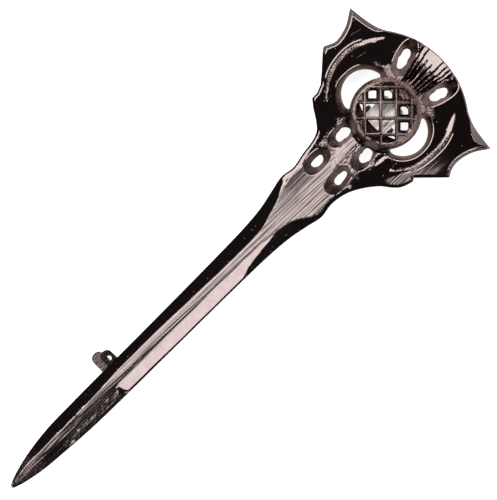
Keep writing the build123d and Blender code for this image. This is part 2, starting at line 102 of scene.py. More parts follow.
# Head's outline, one half on each side, about the middle of the ball: x outwards, y along
# the pin. The neck joins the blade's outline in one smooth run.
LEFT_NECK = (
    (4.76, -19.40), (4.43, -17.00), (4.92, -14.40), (5.34, -11.60), (5.95, -10.10),
    (7.25, -8.95), (9.10, -7.75), (10.30, -6.80),
)
LEFT_BARBS = ((10.33, -5.60), (10.85, -4.30), (12.25, -2.62), (14.55, -0.10))
LEFT_DIP = (
    (14.55, -0.10), (14.93, 0.55), (14.60, 1.35), (14.15, 2.60), (14.70, 5.30), (16.38, 8.13),
)
RIGHT_NECK = (
    (4.60, -19.55), (4.27, -16.80), (4.76, -14.00), (5.91, -11.66), (7.80, -9.20),
    (9.44, -7.88), (10.34, -6.90), (10.80, -5.90), (11.10, -4.76),
)
RIGHT_BARBS = ((10.76, -4.27), (14.90, -0.06))
RIGHT_DIP = ((14.90, -0.06), (14.30, 1.00), (14.00, 2.60), (14.60, 5.30), (16.38, 8.13))
SPIKE_BACK = ((16.38, 8.13), (13.30, 8.50), (11.30, 8.92), (10.10, 9.40))
CREST_START = 37.0          # degrees round the crest's edge, where its arc starts

# Blade's ridge. Columns: distance from the tip, its left and right boundary (x), and the
# slope across it at each of them.
RIDGE = (
    (0.00, -0.12, 0.12, 0.02, 0.00),
    (4.00, -0.80, 0.20, 0.02, 0.00),
    (17.2, -0.88, 0.36, 0.03, 0.00),
    (23.0, -1.00, 0.32, 0.05, -0.02),
    (26.0, -1.20, 0.30, 0.15, -0.02),
    (33.6, -1.22, 0.36, 0.17, -0.02),
    (41.8, -0.92, 0.41, 0.15, 0.02),
    (50.0, -0.76, 0.43, 0.14, 0.04),
    (57.4, -0.71, 0.49, 0.14, 0.05),
    (59.0, -0.82, 0.80, 0.13, 0.07),
    (61.5, -1.56, 1.00, 0.11, 0.12),
    (64.0, -2.30, 1.56, 0.08, 0.14),
    (65.6, -2.85, 2.66, 0.03, 0.16),
    (67.3, -3.45, 3.84, 0.00, 0.18),
    (70.5, -3.54, 3.56, 0.00, 0.18),
)
# Pale band between the ridge or the neck's flat and the left-hand facet. Columns: distance
# from the tip, width.
PALE_BAND = (
    (0.0, 0.0), (3.0, 0.12), (22.0, 0.14), (25.0, 0.20), (45.0, 0.16), (62.0, 0.10), (65.2, 0.24),
    (66.4, 0.44), (67.3, 0.64), (70.5, 0.66),
)
BAND_SLOPE = 0.34

# Slopes of the blade's facets, and where the right-hand one turns steeper. Columns:
# distance from the tip, x.
LEFT_SLOPE = 0.66
GROUND_SLOPE = 0.70         # right-hand facet towards the tip
FACET_SLOPE = 0.52          # right-hand facet, where it is flat and bright
WEDGE_SLOPE = 0.78          # under the turn
GROUND_END = 24.2           # distance from the tip
WEDGE = (
    (0.0, 9.0), (25.0, 2.22), (33.6, 2.36), (50.0, 2.52), (51.6, 2.52), (53.3, 1.89),
    (56.6, 1.48), (59.4, 1.23), (60.8, 0.90), (70.5, 0.90),
)

# Blade towards its tip: a bright spot, file marks and rough lumps. Past them the right-hand
# facet is flat but for slight waves.
GLINT = (8.3, 1.25, 2.2, 0.34)      # distance from the tip, x, half-length, half-width
GLINT_LEAN = 0.20
FACET_WAVE = 0.005
FILE_MARK_DEPTH = 0.016
LUMP_RISE = 0.14
# Rough patches: distances from the tip where each begins, is whole, starts to fade and ends,
# its x and half-width, and how strong it is
ROUGH_PATCHES = (
    (9.0, 11.0, 17.5, 20.0, -1.15, 0.42, 1.0),
    (10.0, 12.0, 23.5, 25.2, 1.62, 0.62, 1.15),
)
WORN_TIP = (4.5, 8.5)       # distances from the tip between which its dull wear ends

# Sloping rim round the head. Columns: inner band's width and slope in degrees, then the
# outer band's.
LEFT_NECK_RIM = (0.62, 18, 0.26, 42)
LEFT_NECK_END_RIM = (0.24, 18, 0.28, 42)
RIGHT_NECK_RIM = (0.0, 20, 0.72, 40)
LEFT_STEP_RIM = (0.15, 17, 0.28, 41)
BARB_RIM = (0.0, 30, 0.40, 41)
LEFT_DIP_RIM = (0.14, 16, 0.54, 47)
RIGHT_DIP_RIM = (0.17, 27, 0.47, 46)
LEFT_SPIKE_RIM = (0.15, 18, 0.74, 45)
RIGHT_SPIKE_RIM = (0.10, 18, 1.30, 46.5)
CREST_RIM = (0.0, 30, 0.24, 55)
ROUGH_RIM_ANGLE = 44        # rims steeper than this weren't polished
EDGE_ROUNDING = 0.14        # width of the worn edge round every opening
MASK_MARGIN = 0.03          # finishes change this far inside the line that the relief turns on
LEFT_EDGE_SLOPE = 0.50
RIGHT_EDGE_SLOPE = 0.27

# Openwork of the ball: a square lattice that stands on its corners
LATTICE_PITCH = 2.64
LATTICE_RIB = 0.56
LATTICE_SHIFT = 0.58
LATTICE_MARGIN = 0.12
CELL_NARROWING = 0.40       # how much openings beside the crest narrow towards the hollow

# Ledge that closes the hollow behind the ball on the neck's side
LEDGE_Y = -2.9
LEDGE_BOW = 0.06
LEDGE_THICKNESS = 0.5

# Openings. Columns: x, y of the throat, its half-length and half-width, x, y of the mouth,
# its half-length and half-width, then the turn of both to the left.
FUNNELS = (
    (-2.30, -13.46, 1.15, 0.64, -2.41, -13.58, 2.67, 1.55, 0.0),
    (2.30, -12.80, 1.31, 0.62, 2.26, -13.40, 2.71, 1.55, 4.0),
    (-2.55, -7.31, 1.40, 0.80, -2.66, -7.45, 2.87, 1.52, -3.0),
    (2.67, -7.20, 1.31, 0.84, 2.50, -7.45, 2.87, 1.52, 6.0),
    (-4.24, 8.46, 1.80, 0.74, -4.25, 8.62, 3.30, 1.56, 17.0),
    (4.02, 8.46, 1.62, 0.78, 4.04, 8.60, 3.25, 1.46, -15.0),
)
OVAL_POWER = 2.4            # 2 would make the ovals ellipses, and more makes them squarer
FUNNEL_FLARE = 1.25
CRESCENT_HORN = (5.15, 3.95)
CRESCENT_REACHES = (8.62, 8.20)     # left and right
CRESCENT_LEDGE = 0.12
CRESCENT_FLARE = 0.8
# Width of a crescent's sloping wall. Columns: distance along the pin from the ball's
# middle, width on the left, width on the right.
CRESCENT_WALL = (
    (-4.2, 1.28, 0.95), (-2.0, 1.00, 0.75), (0.0, 0.66, 0.62), (2.0, 0.74, 0.70), (4.0, 0.95, 0.90),
)
LAND = 0.30                 # upright stretch at the back of every opening

# Neck's flat, which leans to the left
NECK_FLAT_HALF = 3.55
NECK_LEAN = 0.042           # slope across its middle
NECK_BOW = 0.004
NECK_BEND = (-1.3, 0.065, 1.3)      # place (x), height and sharpness of its bend
NECK_SINK = 0.06
NECK_LEAN_END = (-12.5, -7.0)       # y between which the lean runs out
NECK_LEAN_SIDE = (2.4, 3.6)         # distance from the axis between which it runs out,
NECK_LEAN_WHOLE = (-14.5, -11.5)    # but not below these y
FLAT_WAVE = 0.012           # unevenness of the polished flats
HEAD_BEGINS = -19.0         # y above which the neck's finish takes over from the blade's

# Grooves between the crest's flutes. Columns: degrees to the right of the pin's axis, distance
# from the fan's point where the groove runs out.
FLUTE_GROOVES = (
    (-12.4, 15.6), (-9.0, 15.6), (-5.6, 13.7), (-1.2, 13.3), (3.0, 15.6), (6.8, 15.6), (9.6, 15.6),
    (11.9, 15.6),
)
FAN_SIDE = (0.6, 2.6)       # degrees past the last groove between which the flutes run out
FLUTE_FROM = 7.6            # distance from the fan's point
FLUTE_TIP = 12.85           # from here out the flutes fall off towards the edge
FLUTE_RISE = 0.18
TIP_SLOPE = 0.32

# Stem between the neck's openings, which leans to the left
STEM = (-1.30, 0.50, -11.0, -5.2)   # left, right, start, end
STEM_RISE = 0.05
STEM_LEAN = 0.125
STEM_BEVEL = (0.20, 0.52)   # width and slope of its right-hand edge

# A patch beside the right-hand crescent's horn, and the brushed ground outside the right-hand
# cord, which both lean to the left
PATCH = (4.9, -6.4, 0.75, 2.6)      # x, y, half-width, half-length
PATCH_SLANT = 0.34
PATCH_LEAN = 0.17
STREAKED_FROM = ((-7.5, 7.3), (-4.3, 9.2), (0.0, 10.1))     # y, x from which it is brushed
STREAKED_MIDDLE = 9.5       # x
STREAKED_LEAN = 0.055

# Foot and rim of the ball
MOAT = (0.30, 0.30, 0.75)   # distance outside the ball, half-width, depth
BALL_RIM = (5.48, 0.42, 0.10)       # radius, half-width and height of its bead
HEAP_RISE = 0.28            # rough metal heaped round the crest's root

# Cord-like ribs round the head: knots along each (x, y), its half-width, how far outside it a
# thin bead runs, and the share of its length over which it runs out towards the crest
CORDS = (
    (
        (
            (-8.05, -5.91), (-9.36, -4.27), (-10.51, -2.63), (-11.25, -0.99), (-11.58, 0.66),
            (-11.66, 2.30), (-11.41, 3.94), (-10.67, 5.58), (-9.69, 7.22), (-8.65, 8.87),
        ),
        0.40, 0.58, 0.05,
    ),
    (
        (
            (7.06, -6.40), (8.54, -4.76), (9.52, -3.12), (10.02, -0.99), (10.18, 0.99),
            (10.10, 3.12), (9.52, 5.09), (8.70, 6.90), (7.72, 8.87),
        ),
        0.44, 0.82, 0.16,
    ),
)
CORD_STEP = 0.07
CORD_LENGTH = 19.0
CORD_LAY = 0.50             # spacing of the cord's twist
# Shares of a cord's length at which it
CORD_BEGIN = 0.07                   # is fully raised,
CORD_THIN_START = (0.1, 0.3)        # gains its full width,
CORD_THIN_END = (0.78, 1.0)         # loses it again,
CORD_TAIL = (0.62, 0.80)            # turns from a round rib into a slanting band,
CORD_TAIL_GRAIN = (0.62, 0.82)      # and gets less grainy
BEAD_HALF = 0.11
BEAD_RISE = 0.036
BEAD_START = (0.20, 0.30)   # shares of the cord's length over which the bead rises,
BEAD_END = (0.72, 0.82)     # and over which it runs out

# Pegs on the back, peened over the findings' feet. Columns: y, length of the neck.
HOUSING_LOW, HOUSING_HIGH = (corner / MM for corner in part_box("catch_housing"))
PEG_RADIUS = 0.5
PEG_HEAD_RADIUS = 0.85
PEG_HEAD_HEIGHT = 0.45
PEGS = (
    (BALL_Y - 6.05, 0.9), (BALL_Y + 4.5, 0.9),
    (HOUSING_LOW.y + 1.7, 0.8), (HOUSING_HIGH.y - 1.7, 0.8),
)

# Mesh spacing
EDGE_STEP = 0.14
HEAD_STEP = 0.145
BALL_STEP = 0.10
BLADE_STEP = 0.30
BLADE_END = -20.2           # y up to which the blade's points run, and from which the head's do
BLEND = (-20.6, -19.2)      # y between which the blade's height gives way to the head's
RIDGE_ROOM = 0.09           # distance that points on the blade's creases keep from others,
CREASE_ROOM = 0.115         # and those on the head's
LINE_ROOM = 0.09            # distance that these lines keep from the casting's edges
FIELD_ROOM = 0.06           # distance that all other points keep from lines and edges
SHARP_ANGLE = 22            # edges sharper than this aren't drawn smooth
NO_FACES = np.empty((0, 3), int)

# Random fields: size of the lumps, and a seed of its own for each
RAGGED = (1.3, 3.0)
FLUTE_WANDER = (1.6, 17.0)
FLUTE_STRAY = (1.0, 31.0)
COARSE_PITS = (0.36, 11.0)
FINE_PITS = (0.22, 5.0)
FACET_WAVES = (0.62, 27.0)
FILE_MARKS = (0.62, 21.0)
COARSE_LUMPS = (0.36, 8.0)
FINE_LUMPS = (0.22, 9.0)
TIP_RAGGED = (0.9, 14.0)


def smooth(value, low, high):
    """Rises smoothly from 0 at low to 1 at high."""
    t = np.clip((value - low) / (high - low), 0, 1)
    return t * t * (3 - 2 * t)


def fall(value, low, high):
    """Falls smoothly from 1 at low to 0 at high."""
    return 1 - smooth(value, low, high)


def column(table, place, index):
    """One column of a table, read at these places along the pin."""
    rows = np.array(table)
    return np.interp(place, rows[:, 0], rows[:, index])


def ridge(along, index):
    """One column of the ridge's table, eased over 2 mm of its length."""
    shifts = (-1.0, -0.5, 0.0, 0.5, 1.0)
    return np.mean([column(RIDGE, along + shift, index) for shift in shifts], axis=0)


def polar(radius, angle):
    """Points at these distances and angles round a middle."""
    return np.stack((radius * np.cos(angle), radius * np.sin(angle)), axis=1)


def tree_of(points):
    """A tree that finds the nearest of these points."""
    tree = KDTree(len(points))
    for i, (x, y) in enumerate(points):
        tree.insert((x, y, 0), i)
    tree.balance()
    return tree


def evenly(points, step):
    """Points at even steps along a run of points, without its last one."""
    points = np.asarray(points, float)
    length = np.concatenate(([0], np.cumsum(np.hypot(*np.diff(points, axis=0).T))))
    count = max(1, round(length[-1] / step))
    at = np.linspace(0, length[-1], count + 1)[:-1]
    return np.stack([np.interp(at, length, points[:, k]) for k in (0, 1)], axis=1)


def curve_through(knots, step):
    """A smooth run through the knots, without its last one."""
    knots = np.array(knots, float)
    ends = np.vstack((2 * knots[0] - knots[1], knots, 2 * knots[-1] - knots[-2]))
    t = np.concatenate(([0], np.cumsum(np.hypot(*np.diff(ends, axis=0).T) ** 0.5)))
    fine = []
    for i in range(1, len(ends) - 2):
        p0, p1, p2, p3 = ends[i - 1:i + 3]
        t0, t1, t2, t3 = t[i - 1:i + 3]
        m1 = (t2 - t1) * ((p1 - p0) / (t1 - t0) - (p2 - p0) / (t2 - t0) + (p2 - p1) / (t2 - t1))
        m2 = (t2 - t1) * ((p2 - p1) / (t2 - t1) - (p3 - p1) / (t3 - t1) + (p3 - p2) / (t3 - t2))
        s = np.linspace(0, 1, 24, endpoint=False)[:, None]
        fine.append(
            (2 * s**3 - 3 * s**2 + 1) * p1 + (s**3 - 2 * s**2 + s) * m1
            + (-2 * s**3 + 3 * s**2) * p2 + (s**3 - s**2) * m2
        )
    return evenly(np.vstack(fine + [knots[-1:]]), step)


def arc_through(start, middle, end, step):
    """The round run from start over middle to end, without its last point."""
    centre, radius = circle_through(start, middle, end)
    angles = [math.atan2(p[1] - centre[1], p[0] - centre[0]) for p in (start, middle, end)]
    first, _, last = np.unwrap(angles)
    return evenly(centre + polar(radius, np.linspace(first, last, 200)), step)


def circle_through(start, middle, end):
    """Centre and radius of the circle through three points."""
    (ax, ay), (bx, by), (cx, cy) = start, middle, end
    d = 2 * (ax * (by - cy) + bx * (cy - ay) + cx * (ay - by))
    a, b, c = ax**2 + ay**2, bx**2 + by**2, cx**2 + cy**2
    x = (a * (by - cy) + b * (cy - ay) + c * (ay - by)) / d
    y = (a * (cx - bx) + b * (ax - cx) + c * (bx - ax)) / d
    return np.array((x, y)), math.hypot(ax - x, ay - y)


def inward(loop):
    """Unit normal at each point of a closed loop, to the left of its direction."""
    along = np.roll(loop, -1, axis=0) - np.roll(loop, 1, axis=0)
    along /= np.hypot(*along.T)[:, None]
    return np.stack((-along[:, 1], along[:, 0]), axis=1)


def half_outline(side):
    """Half of the casting's outline from the tip to the crest, with the rim at each point."""
    left = side < 0
    width = 1 if left else 2
    if left:
        neck, barbs, dip, dip_rim = LEFT_NECK, LEFT_BARBS, LEFT_DIP, LEFT_DIP_RIM
    else:
        neck, barbs, dip, dip_rim = RIGHT_NECK, RIGHT_BARBS, RIGHT_DIP, RIGHT_DIP_RIM
    blade = [(0.0, TIP_Y - BALL_Y)]
    blade += [(row[width], TIP_Y + row[0] - BALL_Y) for row in BLADE_EDGES]
    start = math.radians(CREST_START)
    crest = [
        (CREST_RADIUS * math.sin(a), CREST_RADIUS * math.cos(a) - CREST_SETBACK)
        for a in (start, start / 2, 0)
    ]
    neck_rim = LEFT_NECK_RIM if left else RIGHT_NECK_RIM
    spike_rim = LEFT_SPIKE_RIM if left else RIGHT_SPIKE_RIM
    neck_run = curve_through(blade + list(neck), EDGE_STEP)
    barb_run = evenly([neck[-1], *barbs], EDGE_STEP)
    if left:
        neck_rims = blended(neck_run, neck_rim, LEFT_NECK_END_RIM, -17.5, -12.0)
        neck_rims = blended(neck_run, neck_rims, BARB_RIM, -11.0, -10.0)
    else:
        neck_rims = blended(neck_run, neck_rim, BARB_RIM, -14.5, -10.0)
    spike_run = curve_through([*SPIKE_BACK, crest[0]], EDGE_STEP)
    crest_from = (8.8, 9.6) if left else (8.45, 9.1)
    spike_rims = blended(spike_run, spike_rim, CREST_RIM, *crest_from)
    runs = [
        (neck_run, neck_rims),
        (barb_run, blended(barb_run, LEFT_STEP_RIM if left else BARB_RIM, BARB_RIM, -4.6, -3.9)),
        (curve_through(dip, EDGE_STEP), dip_rim),
        (spike_run, spike_rims),
        (arc_through(*crest, EDGE_STEP), CREST_RIM),
    ]
    points = np.vstack([run for run, _ in runs])
    rims = np.vstack([np.broadcast_to(rim, (len(run), 4)) for run, rim in runs])
    points[:, 0] *= side
    return points, soften(rims)


def blended(run, rim, next_rim, start, end):
    """Rims along a run that change from one to the next between two places along the pin."""
    share = smooth(run[:, 1], start, end)[:, None]
    return (1 - share) * np.asarray(rim) + share * np.asarray(next_rim)


def soften(rims):
    """Rims whose sizes change gradually along the outline."""
    kernel = np.hanning(13) / np.hanning(13).sum()
    padded = np.vstack((np.repeat(rims[:1], 6, axis=0), rims, np.repeat(rims[-1:], 6, axis=0)))
    return np.stack([np.convolve(padded[:, k], kernel, "valid") for k in range(4)], axis=1)


def ellipse_radius(angle, half_length, half_width):
    """Distance from an oval's middle to its edge, at an angle from its length."""
    along, across = np.abs(np.cos(angle) / half_length), np.abs(np.sin(angle) / half_width)
    return (along**OVAL_POWER + across**OVAL_POWER) ** (-1 / OVAL_POWER)


def oval_points(x, y, radius, angle, turn):
    """Points round an oval's middle, at angles from its length, which is turned to the left."""
    return (x, y) + polar(radius, angle + math.radians(90 + turn))


def throat_loop(funnel, index):
    """Edge of an opening at the back, a little uneven, as a file leaves it."""
    x, y, half_length, half_width, *_, turn = funnel
    angle = np.linspace(0, 2 * math.pi, 200)
    radius = ellipse_radius(angle, half_length, half_width)
    radius *= 1 + 0.06 * np.sin(3 * angle + 2.1 * index) + 0.045 * np.sin(5 * angle + 1.3 * index)
    return evenly(oval_points(x, y, radius, angle, turn), EDGE_STEP)[::-1]


def crescent_loop(side):
    """Edge of a crescent at the back."""
    horn_x, horn_y = CRESCENT_HORN
    reach = CRESCENT_REACHES[0 if side < 0 else 1]
    ledge = BALL_RADIUS + CRESCENT_LEDGE
    meet = math.asin(horn_y / ledge * 0.98)
    outer = arc_through((horn_x, horn_y), (reach, 0), (horn_x, -horn_y), EDGE_STEP)
    inner = polar(ledge, np.linspace(-meet, meet, 80))
    ring = rounded(np.vstack((outer, evenly(inner, EDGE_STEP))), 5)
    ring[:, 0] *= side
    return ring if side > 0 else ring[::-1]


def rounded(loop, times):
    """A closed loop with its corners worn round."""
    for _ in range(times):
        loop = 0.25 * np.roll(loop, 1, axis=0) + 0.5 * loop + 0.25 * np.roll(loop, -1, axis=0)
    return loop


def lattice_loops():
    """Edges of the openwork's openings, kept inside the hollow behind them."""
    loops = []
    reach, far = WELL_RADIUS - LATTICE_MARGIN, 9
    for i in range(-2, 3):
        for j in range(-2, 3):
            x = (i - j) * LATTICE_PITCH / math.sqrt(2)
            y = LATTICE_SHIFT + (i + j) * LATTICE_PITCH / math.sqrt(2)
            distance = math.hypot(x, y)
            if distance >= WELL_RADIUS or y >= CREST_ROOT:
                continue
            # Where the rim or the crest cuts a cell, it is drawn from inside what is left of it
            pull = min(1, 3.9 / distance)
            px, py = x * pull, min(y * pull, CREST_ROOT - 1)
            angle = np.linspace(0, 2 * math.pi, 120, endpoint=False)
            cos, sin = np.cos(angle), np.sin(angle)
            half_diagonal = (LATTICE_PITCH - LATTICE_RIB) / math.sqrt(2)
            limits = []
            for sx in (-1, 1):
                for sy in (-1, 1):
                    rate = sx * cos + sy * sin
                    room = half_diagonal - sx * (px - x) - sy * (py - y)
                    limits.append(np.where(rate > 1e-6, room / np.maximum(rate, 1e-6), far))
            along = px * cos + py * sin
            limits.append(-along + np.sqrt(along**2 + reach**2 - px**2 - py**2))
            room = CREST_ROOT - LATTICE_MARGIN - py
            limits.append(np.where(sin > 1e-6, room / np.maximum(sin, 1e-6), far))
            radius = np.min(limits, axis=0)
            ring = (px, py) + polar(radius, angle)
            loops.append(rounded(evenly(np.vstack((ring, ring[:1])), 0.11), 3)[::-1])
    return loops


def narrowed(cell):
    """Edge of one of the openwork's openings where it meets the hollow."""
    middle = cell.mean(axis=0)
    beside_crest = smooth(np.hypot(*middle), 1.5, 2.5) * (middle[1] > 0)
    return middle + (cell - middle) * (1 - CELL_NARROWING * beside_crest)


class Boundary:
    """Closed loops of one face, and the distance of any point from them."""

    def __init__(self, loops):
        self.loops = loops
        self.points = np.vstack(loops)
        self.normals = np.vstack([inward(loop) for loop in loops])
        self.tree = tree_of(self.points)

    def nearest(self, points):
        """Signed distance, positive inside, and the nearest boundary point's number."""
        found = [self.tree.find((x, y, 0)) for x, y in points]
        index = np.array([f[1] for f in found])
        distance = np.array([f[2] for f in found])
        # Close by, the distance is measured square to the boundary
        away = points - self.points[index]
        inside = np.einsum("ij,ij->i", away, self.normals[index]) > 0
        across = np.abs(np.einsum("ij,ij->i", away, self.normals[index]))
        distance = np.where(distance < 3 * EDGE_STEP, np.minimum(distance, across + 0.02), distance)
        return np.where(inside, distance, -distance), index


def triangulate(boundary, inner, creases=()):
    """Triangles over a face with these loops and inner points, along these creases."""
    points = np.vstack((boundary.points, inner))
    edges, at = [], 0
    for loop in boundary.loops:
        n = len(loop)
        edges += [(at + i, at + (i + 1) % n) for i in range(n)]
        at += n
    edges += [(at + i, at + j) for i, j in creases]
    out = delaunay_2d_cdt([Vector(p) for p in points], edges, [], 0, 1e-7)
    if len(out[0]) != len(points):
        raise RuntimeError(f"the triangulation changed the points: {len(points)} to {len(out[0])}")
    order = np.array([orig[0] for orig in out[3]])
    triangles = order[np.array(out[2])]
    rim = (triangles < at).all(axis=1)
    middle = points[triangles[rim]].mean(axis=1)
    keep = np.ones(len(triangles), bool)
    keep[rim] = enclosed(middle, boundary.loops)
    return points, triangles[keep]


def lay_lines(lines):
    """Points and edges of many lines, each with the room that its points keep from others."""
    # Points are looked up in square cells, no smaller than any line's room
    cell, shortest = 0.12, 0.03
    cells, points, edges = {}, [], []
    for line, usable, room in lines:
        last = None
        for place, good in zip(line, usable):
            column_at, row_at = (int(c // cell) for c in place)
            near = [
                other for i in (-1, 0, 1) for j in (-1, 0, 1)
                for other in cells.get((column_at + i, row_at + j), ())
            ]
            if not good or any(n != last and math.dist(place, points[n]) < room for n in near):
                last = None
                continue
            if last is not None:
                if math.dist(place, points[last]) < shortest:
                    continue
                edges.append((last, len(points)))
            last = len(points)
            cells.setdefault((column_at, row_at), []).append(last)
            points.append(tuple(place))
    return np.array(points), edges


def enclosed(points, loops):
    """Whether each point is inside an odd number of loops."""
    inside = np.zeros(len(points), bool)
    px, py = points[:, 0][:, None], points[:, 1][:, None]
    for loop in loops:
        x0, y0 = loop.T
        x1, y1 = np.roll(loop, -1, axis=0).T
        spans = (y0 > py) != (y1 > py)
        crossing = x0 + (py - y0) * (x1 - x0) / np.where(y1 == y0, 1e-12, y1 - y0)
        inside ^= (spans & (px < crossing)).sum(axis=1) % 2 == 1
    return inside


def profile_drop(distance, rim):
    """How far the rim has dropped at this distance inside the outline."""
    inner, inner_angle, outer, outer_angle = rim.T
    steep = np.maximum(outer - distance, 0) * np.tan(np.radians(outer_angle))
    gentle = np.clip(outer + inner - distance, 0, inner) * np.tan(np.radians(inner_angle))
    return steep + gentle


def blade_lines(along):
    """Across the blade: its left edge, the ridge's two boundaries and its right edge (x)."""
    edges = (*BLADE_EDGES, *NECK_EDGES)
    return -column(edges, along, 1), ridge(along, 1), ridge(along, 2), column(edges, along, 2)


def blade_height(x, y):
    """Height of the blade's front at points about the middle of the ball."""
    along = y + BALL_Y - TIP_Y
    _, left, right, edge = blade_lines(along)
    slope_left, slope_right = ridge(along, 3), ridge(along, 4)
    top = FACE_Z - 2 * TIP_DROP * fall(along, -TIP_RAMP, TIP_RAMP)
    width = np.maximum(right - left, 1e-3)
    middle = slope_left * width / 2 + (slope_right - slope_left) * width / 8

    def ridge_height(at):
        s = at - left
        return top + slope_left * s + (slope_right - slope_left) * s**2 / (2 * width) - middle

    z = ridge_height(np.clip(x, left, right))
    # Left of the ridge: the pale band, then the facet
    band = column(PALE_BAND, along, 1)
    beyond = np.maximum(left - x, 0)
    z = z - np.minimum(beyond, band) * BAND_SLOPE - np.maximum(beyond - band, 0) * LEFT_SLOPE
    # Right of the ridge: the facet, ground steeper towards the tip and steeper again under its turn
    turn = np.clip(column(WEDGE, along, 1), right, edge)
    ground = fall(along - 0.35 * (x - 1.2) ** 2, GROUND_END - 0.45, GROUND_END + 0.25)
    slope = FACET_SLOPE + (GROUND_SLOPE - FACET_SLOPE) * ground
    slant = (ridge(along + 0.3, 2) - ridge(along - 0.3, 2)) / 0.6
    first = np.clip(x, right, turn) - right
    second = np.maximum(x - turn, 0)
    z = z - first * slope - second * WEDGE_SLOPE / np.hypot(1, 1.15 * slant)
    # Towards the tip: a spot that catches the light, file marks that curve across, and rough
    # patches along both sides
    glint_along, glint_x, half_length, half_width = GLINT
    beside = (x - glint_x) / half_width
    glint = np.clip(1.3 - np.hypot((along - glint_along) / half_length, beside), 0, 1)
    z = z + GLINT_LEAN * smooth(glint, 0, 0.4) * (x - glint_x)
    z = z + FACET_WAVE * smooth(along, 22.0, 26.0) * speckle(x, along / 9, *FACET_WAVES)
    filed = fall(along, 19.0, GROUND_END)
    marks = speckle(x * 0.9 + 0.16 * along, 0.16 * along - 0.10 * x, *FILE_MARKS)
    z = z + FILE_MARK_DEPTH * filed * marks
    lumps = speckle(x, along, *COARSE_LUMPS) + 0.5 * speckle(x, along, *FINE_LUMPS)
    return z + LUMP_RISE * tip_roughness(x, along) * np.maximum(lumps - 0.12, 0)


def tip_roughness(x, along):
    """Where the blade's front was left rough near the tip, 0 to 1."""
    ragged = 0.22 * speckle(x, along, *TIP_RAGGED)
    rough = np.zeros(len(x))
    for start, whole, fading, end, middle, half_width, strength in ROUGH_PATCHES:
        across = strength - np.abs(x - middle + ragged) / half_width
        rough += smooth(along, start, whole) * fall(along, fading, end) * np.clip(across, 0, 1)
    return np.minimum(rough, 1)


def oval_share(x, y, funnel):
    """Share of the way up a funnel's wall, 0 at its throat and 1 at its mouth, and the distance
    inside the mouth."""
    throat, mouth, heading = funnel[0:4], funnel[4:8], math.radians(90 + funnel[8])

    def inside(middle_x, middle_y, half_length, half_width):
        dx, dy = x - middle_x, y - middle_y
        along = dx * math.cos(heading) + dy * math.sin(heading)
        across = -dx * math.sin(heading) + dy * math.cos(heading)
        angle = np.arctan2(across, along)
        step = 0.01
        radius = ellipse_radius(angle, half_length, half_width)
        beyond = ellipse_radius(angle + step, half_length, half_width)
        return (radius - np.hypot(along, across)) / np.hypot(1, (beyond - radius) / step / radius)

    low, high = -inside(*throat), inside(*mouth)
    return np.clip(low / np.maximum(low + high, 1e-6), 0, 1), high


def speckle(x, y, size, seed):
    """Smooth random field of about -1 to 1 whose lumps have this size, another for each seed."""
    return np.array([noise.noise(Vector((a / size, b / size, seed))) for a, b in zip(x, y)])


def beside_cord(knots, x, y):
    """Share of the way along a cord, and distance outside its middle, of each point."""
    run = curve_through(knots, CORD_STEP)
    outwards = inward(run) * (1 if knots[0][0] < 0 else -1)
    outwards[0], outwards[-1] = outwards[1], outwards[-2]
    tree = tree_of(run)
    index = np.array([tree.find((a, b, 0))[1] for a, b in zip(x, y)])
    away = np.stack((x, y), axis=1) - run[index]
    across = np.einsum("ij,ij->i", away, outwards[index])
    past_end = np.hypot(*away.T) > np.abs(across) + 0.12
    return index / (len(run) - 1), np.where(past_end, 9.0, across)


def groove_half(reach):
    """Half-width of a groove between two flutes in degrees, this far from the fan's point."""
    return 1.75 - 1.2 * smooth(reach, 10.5, 13.4)


